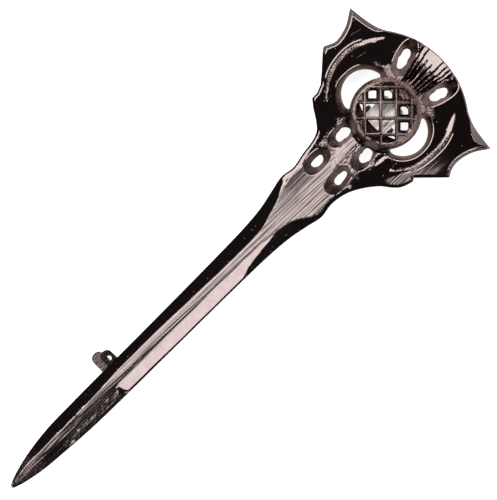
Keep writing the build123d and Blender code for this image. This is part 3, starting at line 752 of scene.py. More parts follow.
class Relief:
    """The head's front at many points: its height, how cast and uneven it is, and its painted shade.
    """

    def __init__(self, x, y):
        self.x, self.y, self.radius = x, y, np.hypot(x, y)
        self.ragged = speckle(x, y, *RAGGED)
        self.z = np.full(len(x), FACE_Z)
        self.cast, self.uneven, self.painted_shade = np.zeros((3, len(x)))

    def roughen(self, cast, uneven):
        """Makes the front at least this cast and this uneven."""
        self.cast = np.maximum(self.cast, cast)
        self.uneven = np.maximum(self.uneven, uneven)

    def lean_neck(self):
        """Leans the neck's flat to the left, less so along the head."""
        x, y = self.x, self.y
        whole = fall(y, *NECK_LEAN_WHOLE)
        narrow = fall(np.abs(x) + self.ragged, *NECK_LEAN_SIDE)
        lean = fall(y, *NECK_LEAN_END) * np.maximum(narrow, whole)
        reach = np.clip(x, -NECK_FLAT_HALF, NECK_FLAT_HALF)
        bend_x, bend_height, sharpness = NECK_BEND
        bend = bend_height * np.log(np.cosh(sharpness * (reach - bend_x)))
        self.z += lean * (NECK_LEAN * reach - NECK_BOW * reach**2 + bend - NECK_SINK)
        self.z += (1 - lean) * FLAT_WAVE * np.sin(0.9 * x + 0.4) * np.cos(0.7 * y)

    def lay_cord(self, knots, half_width, bead_offset, runs_out, rise):
        """Lays a cord-like rib with a thin bead outside it."""
        share, across = beside_cord(knots, self.x, self.y)
        fade = smooth(share, 0, CORD_BEGIN) * fall(share, 1 - runs_out, 1)
        taper = (1 - 0.38 * fall(share, *CORD_THIN_START)) * (1 - 0.6 * smooth(share, *CORD_THIN_END))
        half = half_width * taper
        inside = np.clip(1 - (across / half) ** 2, 0, 1)
        turns = share * CORD_LENGTH / CORD_LAY + across / (2 * CORD_LAY)
        lay = np.sin(2 * math.pi * turns)
        # Towards its end it turns into a band that falls to the left
        leftwards = across / half * (1 if knots[0][0] < 0 else -1)
        band = np.clip((1 - leftwards) / 2, 0, 1) * np.clip((1 + leftwards) / 0.35, 0, 1)
        tail = smooth(share, *CORD_TAIL)
        form = (1 - tail) * np.sqrt(inside) * (1 + 0.14 * lay) + tail * taper * band * (1 + 0.08 * lay)
        self.z += fade * rise * form
        bead = np.clip(1 - np.abs(across - bead_offset) / BEAD_HALF, 0, 1)
        self.z += smooth(share, *BEAD_START) * fall(share, *BEAD_END) * BEAD_RISE * bead
        grain = 0.27 + 0.13 * fall(share, *CORD_TAIL_GRAIN)
        self.roughen(fade * np.minimum(4 * inside, 1) * grain, 0)

    def cut_flutes(self, depth):
        """Raises the crest's flutes, cuts the grooves between them, and slopes their tips."""
        x, fan_y = self.x, self.y + CREST_SETBACK
        reach, angle = np.hypot(x, fan_y), np.degrees(np.arctan2(x, fan_y))
        grooves, ends = np.array(FLUTE_GROOVES).T
        wander = 0.5 * speckle(x, self.y, *FLUTE_WANDER)
        off = np.abs((angle + wander)[:, None] - grooves[None, :])
        gap, end = off.min(axis=1), ends[off.argmin(axis=1)]
        near, far = FAN_SIDE
        within = smooth(angle, grooves[0] - far, grooves[0] - near)
        within = within * fall(angle, grooves[-1] + near, grooves[-1] + far) * (fan_y > 0)
        stray = speckle(angle / 2.6, reach / 6, *FLUTE_STRAY)
        grown = within * smooth(reach + 1.6 * stray, FLUTE_FROM, FLUTE_FROM + 2.5)
        flank = np.sqrt(np.clip(gap / groove_half(reach), 0, 1))
        groove = grown * (1 - flank) * fall(reach + stray, end - 0.5, end + 0.3)
        shallower = 1 - 0.6 * smooth(reach, 12.0, 14.5)
        self.z += FLUTE_RISE * (grown - groove) - depth * shallower * groove
        self.z -= within * TIP_SLOPE * np.maximum(reach - FLUTE_TIP, 0)
        rough = grown * fall(reach + 1.4 * stray, 12.6, 13.3)
        self.roughen(0.35 * rough, 0.8 * rough)
        # Shade painted into the grooves
        self.painted_shade += groove

    def raise_stem(self):
        """Raises the stem, which leans to the left, and returns where it is, 0 to 1."""
        x, y = self.x, self.y
        left, right, start, end = STEM
        on_stem = smooth(x, left - 0.15, left) * fall(x, right, right + 0.10)
        on_stem = on_stem * smooth(y + 0.8 * x + 0.5 * self.ragged, start - 1.6, start)
        on_stem = on_stem * fall(y, end, end + 0.1)
        bevel, bevel_slope = STEM_BEVEL
        past = np.maximum(x - right + bevel, 0)
        leaning = STEM_RISE + STEM_LEAN * (x - left) - (STEM_LEAN + bevel_slope) * past
        self.z += on_stem * leaning
        self.roughen(0, 0.5 * on_stem * smooth(y + self.ragged, -9.5, -7.0))
        return on_stem

    def lean_patches(self):
        """Leans the patch beside the right-hand horn and the streaked ground to the left."""
        middle_x, middle_y, half_width, half_length = PATCH
        along = self.y - middle_y
        across = self.x - middle_x - PATCH_SLANT * along
        outwards = np.hypot(across / half_width, along / half_length)
        patch = np.clip(1.2 + 0.5 * self.ragged - outwards, 0, 1)
        self.z += PATCH_LEAN * smooth(patch, 0, 0.9) * across
        self.z += STREAKED_LEAN * streaked_ground(self.x, self.y) * (self.x - STREAKED_MIDDLE)
        self.roughen(0, 0.8 * patch)

    def raise_ball(self, rib_rounding, engraving):
        """Raises the ball from its moat, with its ribs, its closed cells and its rim."""
        x, y, radius = self.x, self.y, self.radius
        away, half_width, depth = MOAT
        moat = np.exp(-(((radius - BALL_RADIUS - away) / half_width) ** 2))
        moat = moat * fall(y, -4.2, -2.6) * (radius > BALL_RADIUS)
        self.z -= depth * moat
        bow = (BALL_RADIUS**2 + BALL_RISE**2) / (2 * BALL_RISE)
        dome = FACE_Z + BALL_RISE - bow + np.sqrt(np.maximum(bow**2 - radius**2, 0))
        diagonals = np.array((x + y - LATTICE_SHIFT, x - y + LATTICE_SHIFT)) / math.sqrt(2)
        from_cell = np.abs(diagonals - LATTICE_PITCH * np.round(diagonals / LATTICE_PITCH))
        from_rib = LATTICE_PITCH / 2 - from_cell.max(axis=0)
        rib_half = LATTICE_RIB / 2
        openwork = fall(radius, WELL_RADIUS - 0.25, WELL_RADIUS + 0.1)
        dome -= openwork * rib_rounding * np.minimum(from_rib / rib_half, 1) ** 2
        closed = smooth(y, CREST_ROOT - 0.5, CREST_ROOT + 0.1)
        dome -= engraving * closed * openwork * smooth(from_rib, rib_half - 0.04, rib_half + 0.22)
        rim_radius, rim_half, rim_rise = BALL_RIM
        rim_bead = np.clip(1 - ((radius - rim_radius) / rim_half) ** 2, 0, 1) * fall(y, 0.8, 3.6)
        dome += rim_rise * rim_bead
        on_ball = radius < BALL_RADIUS + 0.01
        shelf = 0.4 * fall(y, 1.0, 3.2)
        self.z = np.where(on_ball, np.maximum(self.z - shelf, dome), self.z)
        at_rim = smooth(radius, WELL_RADIUS - 0.1, WELL_RADIUS + 0.3)
        cast = 0.45 + 0.3 * at_rim + 0.3 * smooth(y, 2.0, 4.5)
        self.roughen(on_ball * cast, on_ball * 1.8 * smooth(y, 2.2, 4.2))
        # Painted shade in the moat and over the ball, lighter on the rim's bead
        self.painted_shade += moat + 0.4 * on_ball * (1 - 0.6 * rim_bead)

    def roughen_ground(self, on_stem):
        """Leaves the ground rough round the crest's root and between the neck's openings."""
        x, y, radius, ragged = self.x, self.y, self.radius, self.ragged
        at_crest = smooth(y, 1.6, 3.6)
        root = at_crest * fall(radius + 0.8 * ragged, 6.8, 8.4)
        heaped = at_crest * fall(radius + 0.5 * ragged, 6.0, 7.3)
        self.z += HEAP_RISE * heaped * smooth(radius, BALL_RADIUS - 0.6, BALL_RADIUS + 0.2)
        self.roughen(0.8 * root, 2.2 * root)
        # Painted shade round the crest's root
        self.painted_shade += 0.2 * root
        pitted = smooth(y + ragged, -12.4, -11.0) * fall(y, -5.4, -3.4)
        pitted = pitted * fall(np.abs(x) + 1.2 * ragged, 3.6, 5.0)
        pitted = pitted * (radius > BALL_RADIUS) * (1 - 0.75 * on_stem)
        self.roughen(0.35 * pitted, 1.3 * pitted)
        self.roughen(0, self.cast)

    def sink(self, wall, share):
        """Sinks a wall to the land at the openings' back, where the share is 0."""
        land = BACK_Z + LAND
        self.z = np.where(wall, np.minimum(self.z, land + (self.z - land) * share), self.z)

    def finish_wall(self, wall, cast, uneven, painted_shade):
        """Gives a wall a finish of its own and its painted shade."""
        self.cast = np.where(wall, cast, self.cast)
        self.uneven = np.where(wall, uneven, self.uneven)
        self.painted_shade = np.where(wall, painted_shade, self.painted_shade)

    def sink_funnel(self, funnel):
        """Wears the edge of an oval opening and sinks its wall."""
        mouth_x, mouth_y = funnel[4:6]
        share, inside = oval_share(self.x, self.y, funnel)
        edge_slope = np.where(self.x < mouth_x, LEFT_EDGE_SLOPE, RIGHT_EDGE_SLOPE)
        worn = np.maximum(EDGE_ROUNDING - np.abs(inside), 0)
        self.z -= edge_slope * worn * (inside > -EDGE_ROUNDING)
        self.sink(inside > 0, share**FUNNEL_FLARE)
        # Painted shade on the funnel's wall, darker towards the crest
        shaded = 0.55 * smooth(self.y, mouth_y - 1.5, mouth_y + 1.0)
        self.finish_wall(inside > MASK_MARGIN, 0.6, 1.4 * np.clip(inside / 0.3, 0, 1), shaded)

    def slope_crescents(self, width, distance):
        """Wears the edges of the crescents and slopes their walls, which are this wide."""
        outside = self.radius > BALL_RADIUS + CRESCENT_LEDGE * 0.6
        edge_slope = np.where(self.x < 0, LEFT_EDGE_SLOPE, RIGHT_EDGE_SLOPE)
        worn = np.clip(width + EDGE_ROUNDING - distance, 0, EDGE_ROUNDING)
        self.z -= edge_slope * worn * outside
        share = np.clip(distance / width, 0, 1)
        self.sink(outside & (distance < width), share**CRESCENT_FLARE)
        # Painted shade on the crescent's wall, dark towards the crest and light towards the blade
        shaded = 0.05 + 0.90 * smooth(self.y, -3.5, -0.5)
        uneven = 0.9 * np.clip((width - distance) / 0.3, 0, 1)
        self.finish_wall(outside & (distance < width - MASK_MARGIN), 0.5, uneven, shaded)

    def finish(self, rim_distance, rim, unevenness):
        """Pits the uneven places and slopes the rim."""
        pits = 0.8 * speckle(self.x, self.y, *COARSE_PITS) + 0.6 * speckle(self.x, self.y, *FINE_PITS)
        self.z += unevenness * self.uneven * pits
        on_rim = rim_distance < rim[:, 2] - MASK_MARGIN
        rough_rim = np.where(rim[:, 3] > ROUGH_RIM_ANGLE, 0.3, 0.08)
        self.cast = np.where(on_rim, np.maximum(self.cast, rough_rim), self.cast)
        self.z -= profile_drop(rim_distance, rim)
        self.painted_shade = np.minimum(self.painted_shade, 1)


def head_relief(x, y, rim_distance, rim, crescent_wall, settings):
    """The head's front at these points with all its features."""
    relief = Relief(x, y)
    relief.lean_neck()
    for cord in CORDS:
        relief.lay_cord(*cord, settings.cord_rise / MM)
    relief.cut_flutes(settings.flute_depth / MM)
    on_stem = relief.raise_stem()
    relief.lean_patches()
    relief.raise_ball(settings.rib_rounding / MM, settings.engraving / MM)
    relief.roughen_ground(on_stem)
    for funnel in FUNNELS:
        relief.sink_funnel(funnel)
    relief.slope_crescents(*crescent_wall)
    relief.finish(rim_distance, rim, settings.unevenness / MM)
    return relief


def streaked_ground(x, y):
    """Where the right-hand side of the head was brushed, 0 to 1."""
    across = smooth(x - column(STREAKED_FROM, y, 1), 0, 0.5) * fall(x, 12.5, 15.5)
    return across * smooth(y, -8.6, -7.4) * fall(y, -4.0, 5.0)


def brushing(x, y):
    """How strongly the front is brushed: the blade's ridge, the neck's flat and the stem."""
    along = y + BALL_Y - TIP_Y
    _, left, right, _ = blade_lines(along)
    on_ridge = smooth(x, left - 0.15, left + 0.05) * fall(x, right, right + 0.25)
    blade = on_ridge * (0.55 + 0.45 * smooth(along, 57.0, 61.5))
    flat = fall(y, -11.5, -7.5) * smooth(x, -3.7, -3.5)
    flat = flat * np.maximum(fall(x, 3.8, 4.3), fall(y, -13.5, -12.0))
    left, right, _, end = STEM
    stem = smooth(x, left - 0.1, left) * fall(x, right - 0.3, right) * fall(y, end, end + 0.2)
    head = np.maximum(flat, 0.9 * stem)
    facets = 0.16 * (along < 68)
    filed = 0.14 * fall(along, 21.0, GROUND_END) + 0.30 * fall(along, 5.0, 9.0)
    strength = np.where(y > HEAD_BEGINS, head, blade)
    return np.max([strength, 0.85 * streaked_ground(x, y), facets, filed], axis=0)


def front_height(points, outer, rims, crescents, walls, settings):
    """Height of the casting's front, how cast and how brushed it is there, and its painted shade."""
    x, y = points.T
    along = y + BALL_Y - TIP_Y
    distance, index = outer.nearest(points)
    from_crescent, at_wall = crescents.nearest(points)
    wall = (walls[at_wall], np.abs(from_crescent))
    head = head_relief(x, y, np.maximum(distance, 0), rims[index], wall, settings)
    share = smooth(y, *BLEND)
    z = (1 - share) * blade_height(x, y) + share * head.z
    rough_tip = 0.08 * tip_roughness(x, along) + 0.30 * fall(along, *WORN_TIP)
    on_rim = share * smooth(rims[index][:, 2] - distance, -0.1, 0.0)
    return z, head.cast * share + rough_tip, brushing(x, y) * (1 - on_rim), head.painted_shade * share


def clear_lines(lines, boundary):
    """The lines' points that keep clear of the boundary and of each other, and their edges."""
    usable = []
    for line, good, room in lines:
        distance, _ = boundary.nearest(line)
        usable.append((line, good & (distance > LINE_ROOM), room))
    return lay_lines(usable)


def scattered(low, high, step):
    """A field of evenly set points in rows that alternate."""
    rows = np.arange(low[1], high[1], step * math.sqrt(3) / 2)
    columns = np.arange(low[0], high[0], step)
    shift = (np.arange(len(rows)) % 2) * step / 2
    x = np.tile(columns, len(rows)) + np.repeat(shift, len(columns))
    return np.stack((x, np.repeat(rows, len(columns))), axis=1)


def clear_of(points, others, room):
    """The points that keep this distance from all the others."""
    tree = tree_of(others)
    return points[[tree.find((x, y, 0))[2] > room for x, y in points]]


def blade_points():
    """Points over the blade, in columns that follow its ridge and facets."""
    along = np.arange(1.0, BALL_Y - TIP_Y + BLADE_END, BLADE_STEP)
    left, ridge_left, ridge_right, right = blade_lines(along)
    band = np.maximum(column(PALE_BAND, along, 1), 0.04)
    wedge = np.clip(column(WEDGE, along, 1), ridge_right + 0.05, right - 0.1)
    lines = [left, ridge_left - band, ridge_left, ridge_right, wedge, right]
    counts = (11, 3, 13, 11, 7)
    y = along + TIP_Y - BALL_Y
    creases = [np.stack((x, y), axis=1) for x in lines[1:-1]]
    found = []
    for (a, b), count in zip(zip(lines, lines[1:]), counts):
        for k in range(1, count):
            share = (1 - math.cos(math.pi * k / count)) / 2
            found.append(np.stack((a + (b - a) * share, y), axis=1))
    return np.vstack(found), creases


def crescent_walls(loops):
    """Width of the crescents' sloping wall at every point of their loops."""
    x, y = np.vstack(loops).T
    return np.where(x < 0, column(CRESCENT_WALL, y, 1), column(CRESCENT_WALL, y, 2))


def head_lines(outline, rims, outer, crescent_loops, walls):
    """Lines over the head that its relief turns on."""
    normals = inward(outline)
    on_head = outline[:, 1] > -20.0
    lines = []
    for reach in (rims[:, 2], rims[:, 2] + rims[:, 0]):
        line = outline + normals * reach[:, None]
        distance, _ = outer.nearest(line)
        lines.append((line, (distance > reach * 0.97) & on_head))
    at = 0
    for loop in crescent_loops:
        width = walls[at:at + len(loop)]
        at += len(loop)
        for reach in (width, width + EDGE_ROUNDING):
            line = loop + inward(loop) * reach[:, None]
            lines.append((line, np.hypot(*line.T) > BALL_RADIUS + 0.1))
    whole = []
    for funnel in FUNNELS:
        mouth = mouth_loop(funnel)
        whole += [mouth - inward(mouth) * reach for reach in (0, EDGE_ROUNDING)]
    for knots, half, offset, _ in CORDS:
        line = curve_through(knots, EDGE_STEP)
        outwards = inward(line) * (1 if knots[0][0] < 0 else -1)
        places = (0, half, -half, offset, offset + BEAD_HALF, offset - BEAD_HALF)
        whole += [line + outwards * across for across in places]
    for angle, end in FLUTE_GROOVES:
        reach = np.arange(FLUTE_FROM, end, EDGE_STEP)
        for side in (0, 1, -1):
            turn = np.radians(angle + side * groove_half(reach))
            x, y = reach * np.sin(turn), reach * np.cos(turn) - CREST_SETBACK
            whole.append(np.stack((x, y), axis=1))
    whole.append(polar(BALL_RADIUS, np.linspace(0, 2 * math.pi, 260, endpoint=False)))
    return lines + [(line, np.ones(len(line), bool)) for line in whole]


def mouth_loop(funnel):
    """Edge of an opening at the front."""
    *_, x, y, half_length, half_width, turn = funnel
    angle = np.linspace(0, 2 * math.pi, 200)
    radius = ellipse_radius(angle, half_length, half_width)
    return evenly(oval_points(x, y, radius, angle, turn), EDGE_STEP)


def whole_outline():
    """The casting's outline, round from the tip up its right-hand side, and its rims."""
    right_points, right_rims = half_outline(1)
    left_points, left_rims = half_outline(-1)
    left_points = np.vstack((left_points[1:], [[0, CREST_RADIUS - CREST_SETBACK]]))[::-1]
    left_rims = np.vstack((left_rims[1:], left_rims[-1:]))[::-1]
    return np.vstack((right_points, left_points)), np.vstack((right_rims, left_rims))


def front_points(outline, front, head_creases):
    """Points over the casting's front, closest on the ball, and the edges of its creases."""
    blade, ridge_lines = blade_points()
    lines = [(line, np.ones(len(line), bool), RIDGE_ROOM) for line in ridge_lines]
    lines += [(line, usable, CREASE_ROOM) for line, usable in head_creases]
    creases, crease_edges = clear_lines(lines, front)
    low, high = outline.min(axis=0), outline.max(axis=0)
    head = scattered((low[0], BLADE_END), high, HEAD_STEP)
    head = head[np.hypot(*head.T) > BALL_RADIUS]
    ball = scattered((-BALL_RADIUS, -BALL_RADIUS), (BALL_RADIUS, BALL_RADIUS), BALL_STEP)
    ball = ball[np.hypot(*ball.T) <= BALL_RADIUS]
    field = clear_of(np.vstack((head, ball, blade)), creases, FIELD_ROOM)
    distance, _ = front.nearest(field)
    return np.vstack((creases, field[distance > FIELD_ROOM])), crease_edges


def hollow_ceiling(cells):
    """Outline of the hollow behind the ball, closed off at the crest's root, and its ceiling's
    points, heights and triangles."""
    meet = math.asin(CREST_ROOT / WELL_RADIUS)
    ring = polar(WELL_RADIUS, np.linspace(math.pi - meet, 2 * math.pi + meet, 220))
    well = evenly(np.vstack((ring, ring[:1])), 0.25)
    hollow = Boundary([well] + [narrowed(cell) for cell in cells])
    fill = scattered((-WELL_RADIUS, -WELL_RADIUS), (WELL_RADIUS, CREST_ROOT), 0.3)
    distance, _ = hollow.nearest(fill)
    points, triangles = triangulate(hollow, fill[distance > 0.1])
    crown = BALL_RISE - BALL_WALL
    bow = (WELL_RADIUS**2 + crown**2) / (2 * crown)
    z = FACE_Z + crown - bow + np.sqrt(np.maximum(bow**2 - (points**2).sum(axis=1), 0))
    return well, points, z, triangles


def back_sheet(outline, through, mouth, necks):
    """Points and triangles of the casting's flat back."""
    back = Boundary([outline] + through + [mouth[::-1]] + necks)
    fill = scattered(outline.min(axis=0), outline.max(axis=0), 1.4)
    distance, _ = back.nearest(fill)
    return triangulate(back, fill[distance > 0.5])


def build_casting(settings):
    """The whole casting: front with its relief, back, hollow behind the ball, and walls."""
    outline, rims = whole_outline()
    crescent_loops = [crescent_loop(1), crescent_loop(-1)]
    throats = [throat_loop(funnel, i) for i, funnel in enumerate(FUNNELS)]
    cells = lattice_loops()
    through = crescent_loops + throats
    front = Boundary([outline] + through + cells)
    crescents = Boundary(crescent_loops)
    outer = Boundary([outline])
    walls = crescent_walls(crescent_loops)
    head_creases = head_lines(outline, rims, outer, crescent_loops, walls)
    inner, crease_edges = front_points(outline, front, head_creases)
    points, triangles = triangulate(front, inner, crease_edges)
    z, cast, brushed, painted_shade = front_height(points, outer, rims, crescents, walls, settings)

    well, well_points, well_z, well_triangles = hollow_ceiling(cells)
    circle = polar(1, np.linspace(0, -2 * math.pi, 28, endpoint=False))
    necks = [PEG_RADIUS * circle + (0, y - BALL_Y) for y, _ in PEGS]
    # The hollow's mouth at the back keeps just inside its wall, and the ledge cuts it short
    mouth = well * 0.995
    mouth[:, 1] = np.maximum(mouth[:, 1], LEDGE_Y + LEDGE_BOW * mouth[:, 0] ** 2)
    back_points, back_triangles = back_sheet(outline, through, mouth, necks)

    mesh = MeshParts()
    at_front = mesh.add(points, z, triangles, cast, brushed, painted_shade)
    at_back = mesh.add(back_points, BACK_Z, back_triangles[:, ::-1], 0.15)
    # The hollow behind the ball gets full painted shade
    at_well = mesh.add(well_points, well_z, well_triangles[:, ::-1], 0.6, painted_shade=1.0)
    at = 0
    for loop in [outline] + through:
        mesh.wall(at_front + at, at_back + at, len(loop))
        at += len(loop)
    at_mouth = at_back + at
    at_cell = at_well + len(well)
    for loop in cells:
        mesh.wall(at_front + at, at_cell, len(loop))
        at += len(loop)
        at_cell += len(loop)
    # The hollow's wall goes down to a ledge, and the ledge's edge to the back
    count = len(well)
    rings = [at_well]
    for ring in (well, mouth):
        # The hollow's wall and its ledge get full painted shade
        rings.append(mesh.add(ring, BACK_Z + LEDGE_THICKNESS, NO_FACES, 0.2, painted_shade=1.0))
    for above, below in zip(rings, rings[1:]):
        mesh.wall(below, above, count)
    for i in range(count):
        j = (i + 1) % count
        a, b = rings[-1] + i, rings[-1] + j
        c, d = at_mouth + count - 1 - j, at_mouth + count - 1 - i
        mesh.faces.append(((a, b, c), (a, c, d)))
    at = at_mouth + count
    for y, neck in PEGS:
        mesh.peg(at, circle, y - BALL_Y, BACK_Z - neck)
        at += len(circle)
    return mesh


class MeshParts:
    """Vertices, triangles, and finish and painted-shade masks of one mesh, put together piece by
    piece.
    """

    def __init__(self):
        self.vertices, self.faces, self.count = [], [], 0
        self.masks = {"cast": [], "brushed": [], "painted_shade": []}

    def add(self, points, z, triangles, cast, brushed=0.1, painted_shade=0.0):
        """Adds a sheet over points about the middle of the ball, and returns where it starts."""
        start, n = self.count, len(points)
        place = np.column_stack((points[:, 0], points[:, 1] + BALL_Y, np.broadcast_to(z, n)))
        self.vertices.append(place)
        for values, value in zip(self.masks.values(), (cast, brushed, painted_shade)):
            values.append(np.broadcast_to(value, n))
        self.faces.append(triangles + start)
        self.count += n
        return start

    def wall(self, top, bottom, count):
        """Joins two loops of equal length, the front's at top and the back's at bottom."""
        i = np.arange(count)
        j = (i + 1) % count
        self.faces.append(np.column_stack((top + i, bottom + i, bottom + j)))
        self.faces.append(np.column_stack((top + i, bottom + j, top + j)))

    def peg(self, root, circle, y, shoulder):
        """Runs a peg from its root's loop down to a domed head below its shoulder."""
        above, count = root, len(circle)
        rise = PEG_HEAD_HEIGHT / 2
        profile = [(PEG_RADIUS, 0), (PEG_HEAD_RADIUS, 0), (PEG_HEAD_RADIUS, rise)]
        for turn in (0.5, 1.0, math.pi / 2):
            drop = rise * (1 - math.cos(turn))
            profile.append((PEG_HEAD_RADIUS - drop, rise + rise * math.sin(turn)))
        profile.append((0.3, 2 * rise))
        for radius, depth in profile:
            ring = self.add(radius * circle + (0, y), shoulder - depth, NO_FACES, 0.5)
            self.wall(ring, above, count)
            above = ring
        i = np.arange(1, count - 1)
        self.faces.append(np.column_stack((np.full(count - 2, above), above + i, above + i + 1)))

    def object(self, name):
        """The finished object in metres, smooth but for its sharp edges."""
        vertices = np.vstack(self.vertices) * MM
        faces = np.vstack([np.asarray(f).reshape(-1, 3) for f in self.faces])
        mesh = bpy.data.meshes.new(name)
        mesh.vertices.add(len(vertices))
        mesh.vertices.foreach_set("co", vertices.ravel())
        mesh.loops.add(3 * len(faces))
        mesh.loops.foreach_set("vertex_index", faces.ravel())
        mesh.polygons.add(len(faces))
        mesh.polygons.foreach_set("loop_start", 3 * np.arange(len(faces)))
        mesh.update(calc_edges=True)
        mesh.validate()
        for mask, values in self.masks.items():
            data = mesh.attributes.new(mask, "FLOAT", "POINT").data
            data.foreach_set("value", np.concatenate(values))
        mesh.shade_smooth()
        mesh.set_sharp_from_angle(angle=math.radians(SHARP_ANGLE))
        made = bpy.data.objects.new(name, mesh)
        bpy.context.scene.collection.objects.link(made)
        return made


def colour(hex_code):
    """An sRGB hex colour as the linear one that Blender works in."""
    parts = [int(hex_code[i:i + 2], 16) / 255 for i in (1, 3, 5)]
    return [p / 12.92 if p <= 0.04045 else ((p + 0.055) / 1.055) ** 2.4 for p in parts]


def add_node(tree, kind, inputs, **properties):
    """Adds a node with its properties, and the values of its sockets or the links into them."""
    node = tree.nodes.new("ShaderNode" + kind)
    for name, value in properties.items():
        setattr(node, name, value)
    for socket, value in inputs.items():
        if isinstance(value, bpy.types.NodeSocket):
            tree.links.new(value, node.inputs[socket])
        else:
            node.inputs[socket].default_value = value
    return node


def new_material(name):
    """An empty node material and its tree of nodes."""
    material = bpy.data.materials.new(name)
    material.use_nodes = True
    material.node_tree.nodes.clear()
    return material, material.node_tree


# Sockets of the Mix node that carry colours
TINT_A, TINT_B, TINT_RESULT = 6, 7, 2


def black_nickel_casting(plate_colour):
    """Zinc casting, polished and brushed along its length, plated in black nickel.

    The eye sees a dark mirror with brushed streaks, small pits and specks, and browner,
    duller metal where the casting wasn't polished. Shade is painted darker into its recesses.
    """
    material, tree = new_material("black nickel on polished zinc casting")
    place = add_node(tree, "TexCoord", {}).outputs["Object"]
    cast, brushed, painted_shade = (
        add_node(tree, "Attribute", {}, attribute_name=mask).outputs["Fac"]
        for mask in ("cast", "brushed", "painted_shade")
    )
    polished = add_node(
        tree, "MapRange", {"Value": cast, "From Max": 0.3, "To Min": 1.0, "To Max": 0.0},
    ).outputs[0]
    # Lines along the pin: spacing, length, turn in degrees, depth, where they show, and how
    # much of them is cut away. The brushing is 0.34 mm apart, with finer lines of 0.16 mm between:
    # the real ones are about 0.1 mm apart, too fine for the render. The stray scratches are drawn
    # 0.09 mm wide, twice as wide as real ones.
    lines = (
        (0.34 * MM, 14.0 * MM, -2, 0.085 * MM, brushed, 0.0),
        (0.16 * MM, 6.0 * MM, -1, 0.018 * MM, brushed, 0.0),
        (0.09 * MM, 4.5 * MM, -14, 0.008 * MM, polished, 0.76),
        (0.09 * MM, 4.5 * MM, 12, 0.008 * MM, polished, 0.76),
    )
    below = {}
    for spacing, length, turn, depth, mask, cut_away in lines:
        shape = {"Scale": (spacing, length, spacing), "Rotation": (0, 0, math.radians(turn))}
        stretched = add_node(tree, "Mapping", {"Vector": place, **shape}, vector_type="TEXTURE")
        drawn = add_node(
            tree, "TexNoise", {"Vector": stretched.outputs[0], "Scale": 1.0, "Detail": 1.5},
        )
        whole = cut_away + 0.1 if cut_away else 1.0
        kept = add_node(
            tree, "MapRange",
            {"Value": drawn.outputs["Fac"], "From Min": cut_away, "From Max": whole},
        )
        shown = add_node(tree, "Math", {0: kept.outputs[0], 1: mask}, operation="MULTIPLY")
        bump = add_node(tree, "Bump", {"Height": shown.outputs[0], "Distance": depth, **below})
        below = {"Normal": bump.outputs[0]}
    # Specks of 0.15 mm about 1.2 mm apart
    cells = add_node(tree, "TexVoronoi", {"Vector": place, "Scale": 1 / (1.2 * MM)})
    speck = add_node(
        tree, "MapRange",
        {
            "Value": cells.outputs["Distance"], "From Min": 0.02, "From Max": 0.06,
            "To Min": 1.0, "To Max": 0.0,
        },
    )
    bump = add_node(tree, "Bump", {"Height": speck.outputs[0], "Distance": 0.018 * MM, **below})
    # Grain of the unpolished places, 0.2 mm across
    grain = add_node(
        tree, "TexNoise",
        {"Vector": place, "Scale": 1 / (0.2 * MM), "Detail": 3.0, "Roughness": 0.65},
    )
    grainy = add_node(tree, "Math", {0: grain.outputs["Fac"], 1: cast}, operation="MULTIPLY")
    grainy = grainy.outputs[0]
    bump = add_node(
        tree, "Bump", {"Height": grainy, "Normal": bump.outputs[0], "Distance": 0.11 * MM},
    )
    dull = add_node(tree, "Math", {0: brushed, 1: cast}, operation="MAXIMUM")
    roughness = add_node(
        tree, "MapRange", {"Value": dull.outputs[0], "To Min": 0.07, "To Max": 0.28},
    )
    # A faint film of tarnish lies on the plate, in clouds of 1.4 mm and finer ones
    clouds = add_node(
        tree, "TexNoise",
        {"Vector": place, "Scale": 1 / (1.4 * MM), "Detail": 6.0, "Roughness": 0.75},
    )
    film = add_node(
        tree, "MapRange", {"Value": clouds.outputs["Fac"], "From Min": 0.35, "From Max": 0.65},
    )
    # Unpolished metal takes the plate browner and lighter. Shade is painted in as a darker brown:
    # into the recesses, the hollow behind the ball and parts of the head's walls
    tint = (*plate_colour, 1)
    for share, hex_code in ((film.outputs[0], "#5B5351"), (grainy, "#7E6962"), (painted_shade, "#3E2F2C")):
        mixed = add_node(
            tree, "Mix", {"Factor": share, TINT_A: tint, TINT_B: (*colour(hex_code), 1)},
            data_type="RGBA",
        )
        tint = mixed.outputs[TINT_RESULT]
    # Seen at a flat angle the plate is a little browner too
    shader = add_node(
        tree, "BsdfPrincipled",
        {
            "Base Color": tint, "Roughness": roughness.outputs[0], "Normal": bump.outputs[0],
            "Metallic": 1.0, "Specular Tint": (*colour("#EFDFDB"), 1),
        },
    )
    add_node(tree, "OutputMaterial", {"Surface": shader.outputs[0]})
    return material


